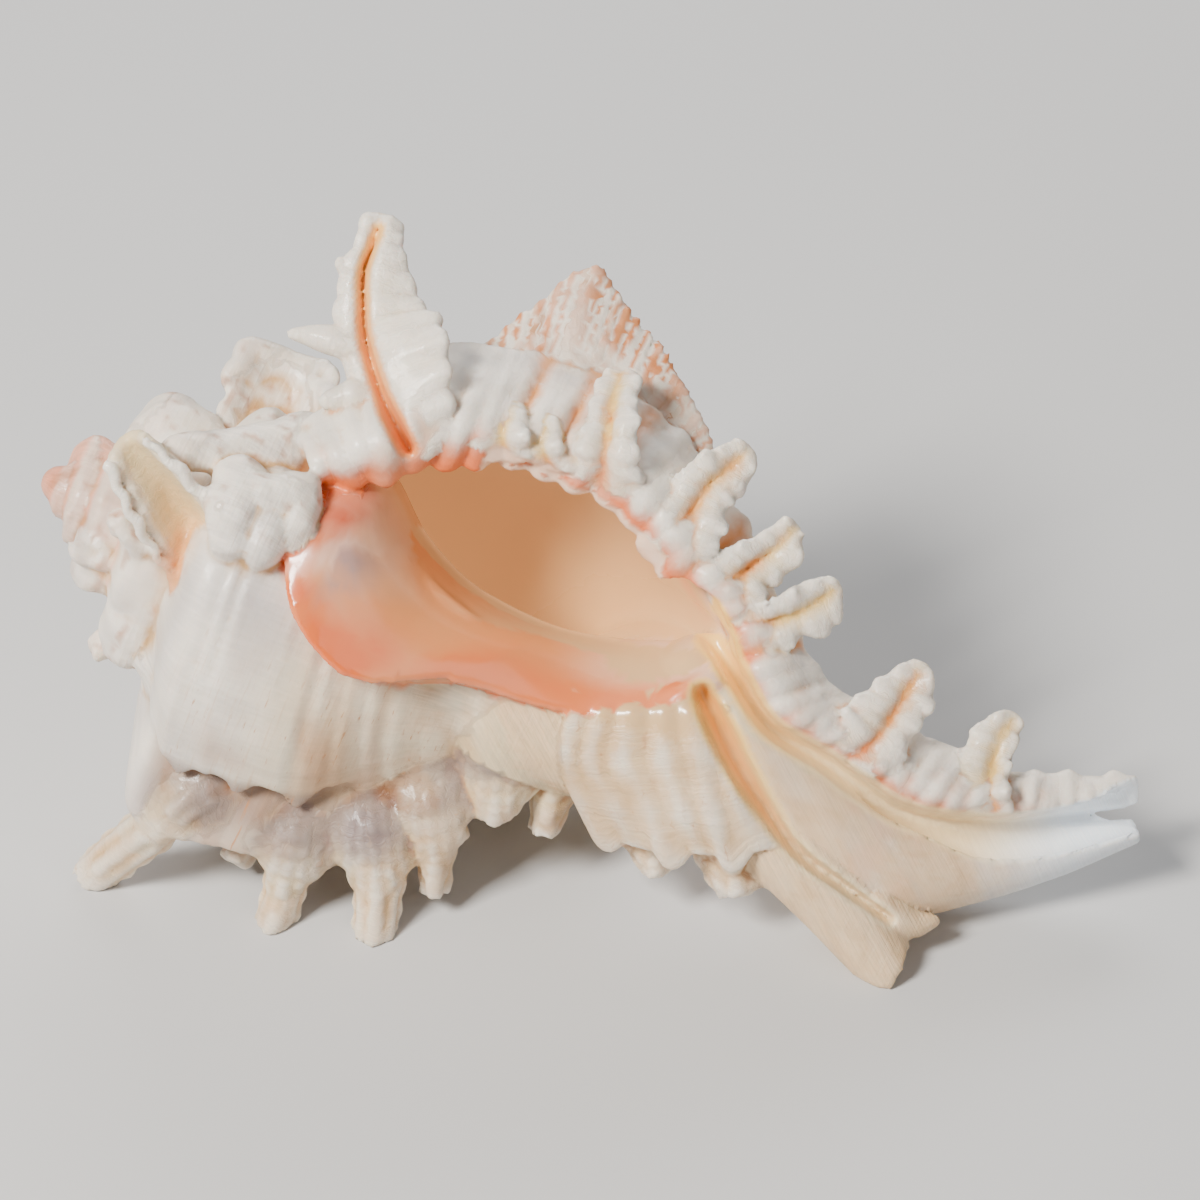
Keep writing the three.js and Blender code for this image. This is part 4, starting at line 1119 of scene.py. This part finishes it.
    slit = carved * (cut_marks[:, 0] == SLIT_) * (along > 104)
    paint.coat(mix(YELLOW, CREAM, ramp(along, 108, 135)), slit * 0.9)
    paint.coat(ICE, slit * ramp(along, 156, 172) * 0.9)
    groove = carved * (cut_marks[:, 0] == GROOVE_)
    pale = mix(YELLOW, mix(CREAM, WHITE, 0.2), ramp(cut_marks[:, 2], 0.2, 0.9))
    paint.coat(pale, groove * 0.85)
    paint.coat(AMBER, groove * ramp(cut_marks[:, 3], 0.3, 0.9) * ramp(cut_marks[:, 2], 0.8, 0.2) * 0.5)
    gutter = carved * (cut_marks[:, 0] == GUTTER_)
    flame = mix(YELLOW, ORANGE, 0.2 + 0.5 * cut_marks[:, 2])
    paint.coat(flame, gutter * 0.9)
    paint.glaze(gutter, 0.6)
    paint.glaze((1 - own) * 0.55, 0.55)

    arc = np.radians(growth) * 40 * size
    flow = np.stack([arc, row * size, 0 * arc], 1)
    limb = np.isin(kind, (FROND, FOOT, FAN, COLLAR_))
    flow[limb] = np.stack([down * 40, across * 7, kind * 3.0], 1)[limb]
    smooth_limb = np.isin(kind, (CANAL_, STUB))
    flow[smooth_limb] = np.stack([out + 0.75 * along, along, 0 * arc], 1)[smooth_limb]
    flow[kind == FAN] = np.stack([down * 5, across * 22, kind * 3.0], 1)[kind == FAN]
    dashes = np.clip(stain * 1.2 + ramp(row, 70, 95) * 0.5, 0, 1) * (1 - own)
    dashes = dashes + foot * 0.6 + fan * ramp(down, 0.3, 0.7)
    # painted glow: the aperture's hollow, the canal's slit, the groove and the gutter give off light
    # through the material's emission
    light = deep * ramp(mouth_growth, 0, -14) * (0.7 + 0.3 * ramp(-mouth_growth, 30, 120))
    light = np.clip(light + 0.7 * slit + 0.25 * groove + 0.25 * gutter, 0, 1)
    values = {
        "gloss": paint.gloss, "rough": paint.rough,
        "dashes": dashes * (1 - inside), "light": light,
    }
    return paint.colour, values, flow


# Blender objects

def row_matrix():
    tilt = Matrix.Rotation(math.radians(AXIS_TILT), 4, "Y")
    lean = Matrix.Rotation(math.radians(-FACE_TILT), 4, "X")
    shift = Matrix.Translation(Vector(ORIGIN))
    return Matrix.Scale(0.001, 4) @ shift @ lean @ tilt


def add_camera():
    data = bpy.data.cameras.new("camera")
    data.sensor_width = 36
    data.lens = 18 * CAMERA_DISTANCE / HALF_VIEW
    data.clip_start = 0.01
    camera = bpy.data.objects.new("camera", data)
    lean = math.radians(FACE_TILT)
    up = Vector((0, math.sin(lean), math.cos(lean)))
    back = Vector((0, -math.cos(lean), math.sin(lean)))
    spot = (Vector(LOOK_AT) + CAMERA_DISTANCE * back) / 1000
    turn = Matrix((Vector((1, 0, 0)), up, back)).transposed().to_4x4()
    camera.matrix_world = Matrix.Translation(spot) @ turn
    bpy.context.scene.collection.objects.link(camera)
    bpy.context.scene.camera = camera


def add_light(name, spot, size, power, colour):
    data = bpy.data.lights.new(name, "AREA")
    data.shape = "RECTANGLE"
    data.size, data.size_y = size
    data.energy = power
    data.color = colour
    lamp = bpy.data.objects.new(name, data)
    direction = Vector((0, 0, 0.04)) - Vector(spot)
    turn = direction.to_track_quat("-Z", "Y").to_matrix().to_4x4()
    lamp.matrix_world = Matrix.Translation(Vector(spot)) @ turn
    bpy.context.scene.collection.objects.link(lamp)


def add_world():
    world = bpy.data.worlds.new("studio")
    world.use_nodes = True
    back = world.node_tree.nodes["Background"]
    back.inputs["Color"].default_value = (0.9, 0.93, 1.0, 1)
    back.inputs["Strength"].default_value = 0.15
    bpy.context.scene.world = world


def add_floor():
    mesh = bpy.data.meshes.new("table")
    mesh.from_pydata([(-6, -6, 0), (6, -6, 0), (6, 6, 0), (-6, 6, 0)], [], [(0, 1, 2, 3)])
    floor = bpy.data.objects.new("table", mesh)
    bpy.context.scene.collection.objects.link(floor)
    material = bpy.data.materials.new("table")
    material.use_nodes = True
    shader = material.node_tree.nodes["Principled BSDF"]
    shader.inputs["Base Color"].default_value = (0.58, 0.575, 0.57, 1)
    shader.inputs["Roughness"].default_value = 0.7
    mesh.materials.append(material)


def shell_material():
    material = bpy.data.materials.new("shell")
    material.use_nodes = True
    nodes, links = material.node_tree.nodes, material.node_tree.links
    shader = nodes["Principled BSDF"]
    constant = {
        "IOR": 1.53, "Coat Roughness": 0.12, "Subsurface Weight": 0.22,
        "Subsurface Radius": (1.0, 0.62, 0.42), "Subsurface Scale": 0.0022,
    }
    for name, value in constant.items():
        shader.inputs[name].default_value = value

    def add(kind, output, inputs, **settings):
        """A node with inputs set to values or linked to sockets; gives one of its outputs."""
        node = nodes.new("ShaderNode" + kind)
        for name, value in settings.items():
            setattr(node, name, value)
        for key, value in inputs.items():
            if isinstance(value, bpy.types.NodeSocket):
                links.new(value, node.inputs[key])
            else:
                node.inputs[key].default_value = value
        return node.outputs[output]

    def read(name, output="Fac"):
        return add("Attribute", output, {}, attribute_name=name)

    def noise(vector, scale, detail=3.0, roughness=0.55):
        inputs = {"Vector": vector, "Scale": scale, "Detail": detail, "Roughness": roughness}
        return add("TexNoise", "Fac", inputs)

    def stretched(vector, factors):
        return add("VectorMath", "Vector", {0: vector, 1: factors}, operation="MULTIPLY")

    def span(value, low, high, to_low=0.0, to_high=1.0):
        inputs = {"Value": value, "From Min": low, "From Max": high, "To Min": to_low, "To Max": to_high}
        return add("MapRange", "Result", inputs, interpolation_type="SMOOTHSTEP")

    def times(a, b):
        return add("Math", "Value", {0: a, 1: b}, operation="MULTIPLY")

    def plus(a, b):
        return add("Math", "Value", {0: a, 1: b})

    def blended(a, b, factor, mode="MIX"):
        return add("Mix", 2, {0: factor, 6: a, 7: b}, data_type="RGBA", blend_type=mode)

    flow = read("flow", "Vector")
    position = add("TexCoord", "Object", {})
    rough, gloss, dashes, light = (read(name) for name in ("rough", "gloss", "dashes", "light"))

    growth_lines = noise(stretched(flow, (1.9, 0.16, 1.0)), 1.0, 3.0)
    threads = noise(stretched(flow, (0.12, 1.6, 1.0)), 1.0, 3.0)
    chalk = noise(position, 420.0, 3.0, 0.6)
    cloudy = noise(position, 70.0, 3.0)

    shade = span(growth_lines, 0.35, 0.68, 0.86, 1.05)
    shade = add("CombineColor", "Color", {0: shade, 1: shade, 2: shade})
    colour = blended(read("tint", "Color"), shade, times(rough, 0.75), "MULTIPLY")
    colour = blended(colour, (0.80, 0.66, 0.47, 1.0), times(times(span(cloudy, 0.5, 0.75), rough), 0.28))
    flecks = times(span(noise(stretched(flow, (0.3, 1.5, 1.0)), 1.0, 4.0, 0.65), 0.6, 0.7), dashes)
    colour = blended(colour, (0.5, 0.2, 0.055, 1.0), times(flecks, 0.85))
    colour = blended(colour, (0.62, 0.38, 0.2, 1.0), times(times(span(threads, 0.56, 0.7), dashes), 0.35))
    roughness = plus(span(gloss, 0.0, 1.0, 0.5, 0.26), times(times(chalk, rough), 0.14))
    height = plus(times(growth_lines, 0.55), times(threads, 0.35))
    height = times(plus(height, times(chalk, 0.45)), rough)
    linked = {
        # painted glow: the surface gives off light in its own colour where the light attribute is set
        "Base Color": colour, "Emission Color": colour, "Emission Strength": times(light, PAINTED_GLOW_STRENGTH),
        "Roughness": roughness, "Coat Weight": times(gloss, 0.5),
        "Normal": add("Bump", "Normal", {"Strength": 0.55, "Distance": 0.0007, "Height": height}),
    }
    for name, socket in linked.items():
        links.new(socket, shader.inputs[name])
    return material


def values_of(items, name, columns, kind):
    flat = np.empty(len(items) * columns, kind)
    items.foreach_get(name, flat)
    return flat.reshape(-1, columns)


def add_shell():
    values, clouds, cuts = sculpt()
    points, quads = largest_part(*net_of(values))
    mesh = bpy.data.meshes.new("murex_shell")
    mesh.from_pydata(points.tolist(), [], quads.tolist())
    piece = bpy.data.objects.new("murex_shell", mesh)
    bpy.context.scene.collection.objects.link(piece)
    smooth = piece.modifiers.new("even", "SMOOTH")
    smooth.factor = 0.5
    smooth.iterations = 2
    triangles = 2 * len(quads)
    if triangles > MOST_TRIANGLES:
        fewer = piece.modifiers.new("fewer", "DECIMATE")
        fewer.ratio = MOST_TRIANGLES / triangles
    depsgraph = bpy.context.evaluated_depsgraph_get()
    ready = bpy.data.meshes.new_from_object(piece.evaluated_get(depsgraph))
    piece.modifiers.clear()
    piece.data = ready
    ready.name = "murex_shell"
    bpy.data.meshes.remove(mesh)

    points = values_of(ready.vertices, "co", 3, np.float32).astype(float)
    normals = values_of(ready.vertex_normals, "vector", 3, np.float32).astype(float)
    pairs = values_of(ready.edges, "vertices", 2, np.int32)
    dips = [sunken(points, pairs, normals, rounds) for rounds in (5, 30)]
    colour, single, flow = describe(points, dips, clouds, cuts)
    tint = ready.color_attributes.new("tint", "FLOAT_COLOR", "POINT")
    opaque = np.concatenate([colour, np.ones((len(colour), 1))], 1)
    tint.data.foreach_set("color", opaque.astype(np.float32).ravel())
    for name, data in single.items():
        layer = ready.attributes.new(name, "FLOAT", "POINT")
        layer.data.foreach_set("value", data.astype(np.float32))
    layer = ready.attributes.new("flow", "FLOAT_VECTOR", "POINT")
    layer.data.foreach_set("vector", flow.astype(np.float32).ravel())

    ready.transform(row_matrix())
    ready.polygons.foreach_set("use_smooth", np.ones(len(ready.polygons), bool))
    ready.materials.append(shell_material())
    ready.update()
    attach(piece, "root")
    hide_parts("shell")


add_camera()
add_world()
add_floor()
add_light("key", (-0.5, -0.42, 0.7), (0.26, 0.26), 18.0, (1.0, 0.965, 0.91))
add_light("fill", (0.7, -0.7, 0.5), (0.7, 0.7), 2.4, (0.94, 0.97, 1.0))
add_light("rim", (0.1, 0.8, 0.6), (0.8, 0.4), 7.0, (1.0, 1.0, 1.0))
add_shell()
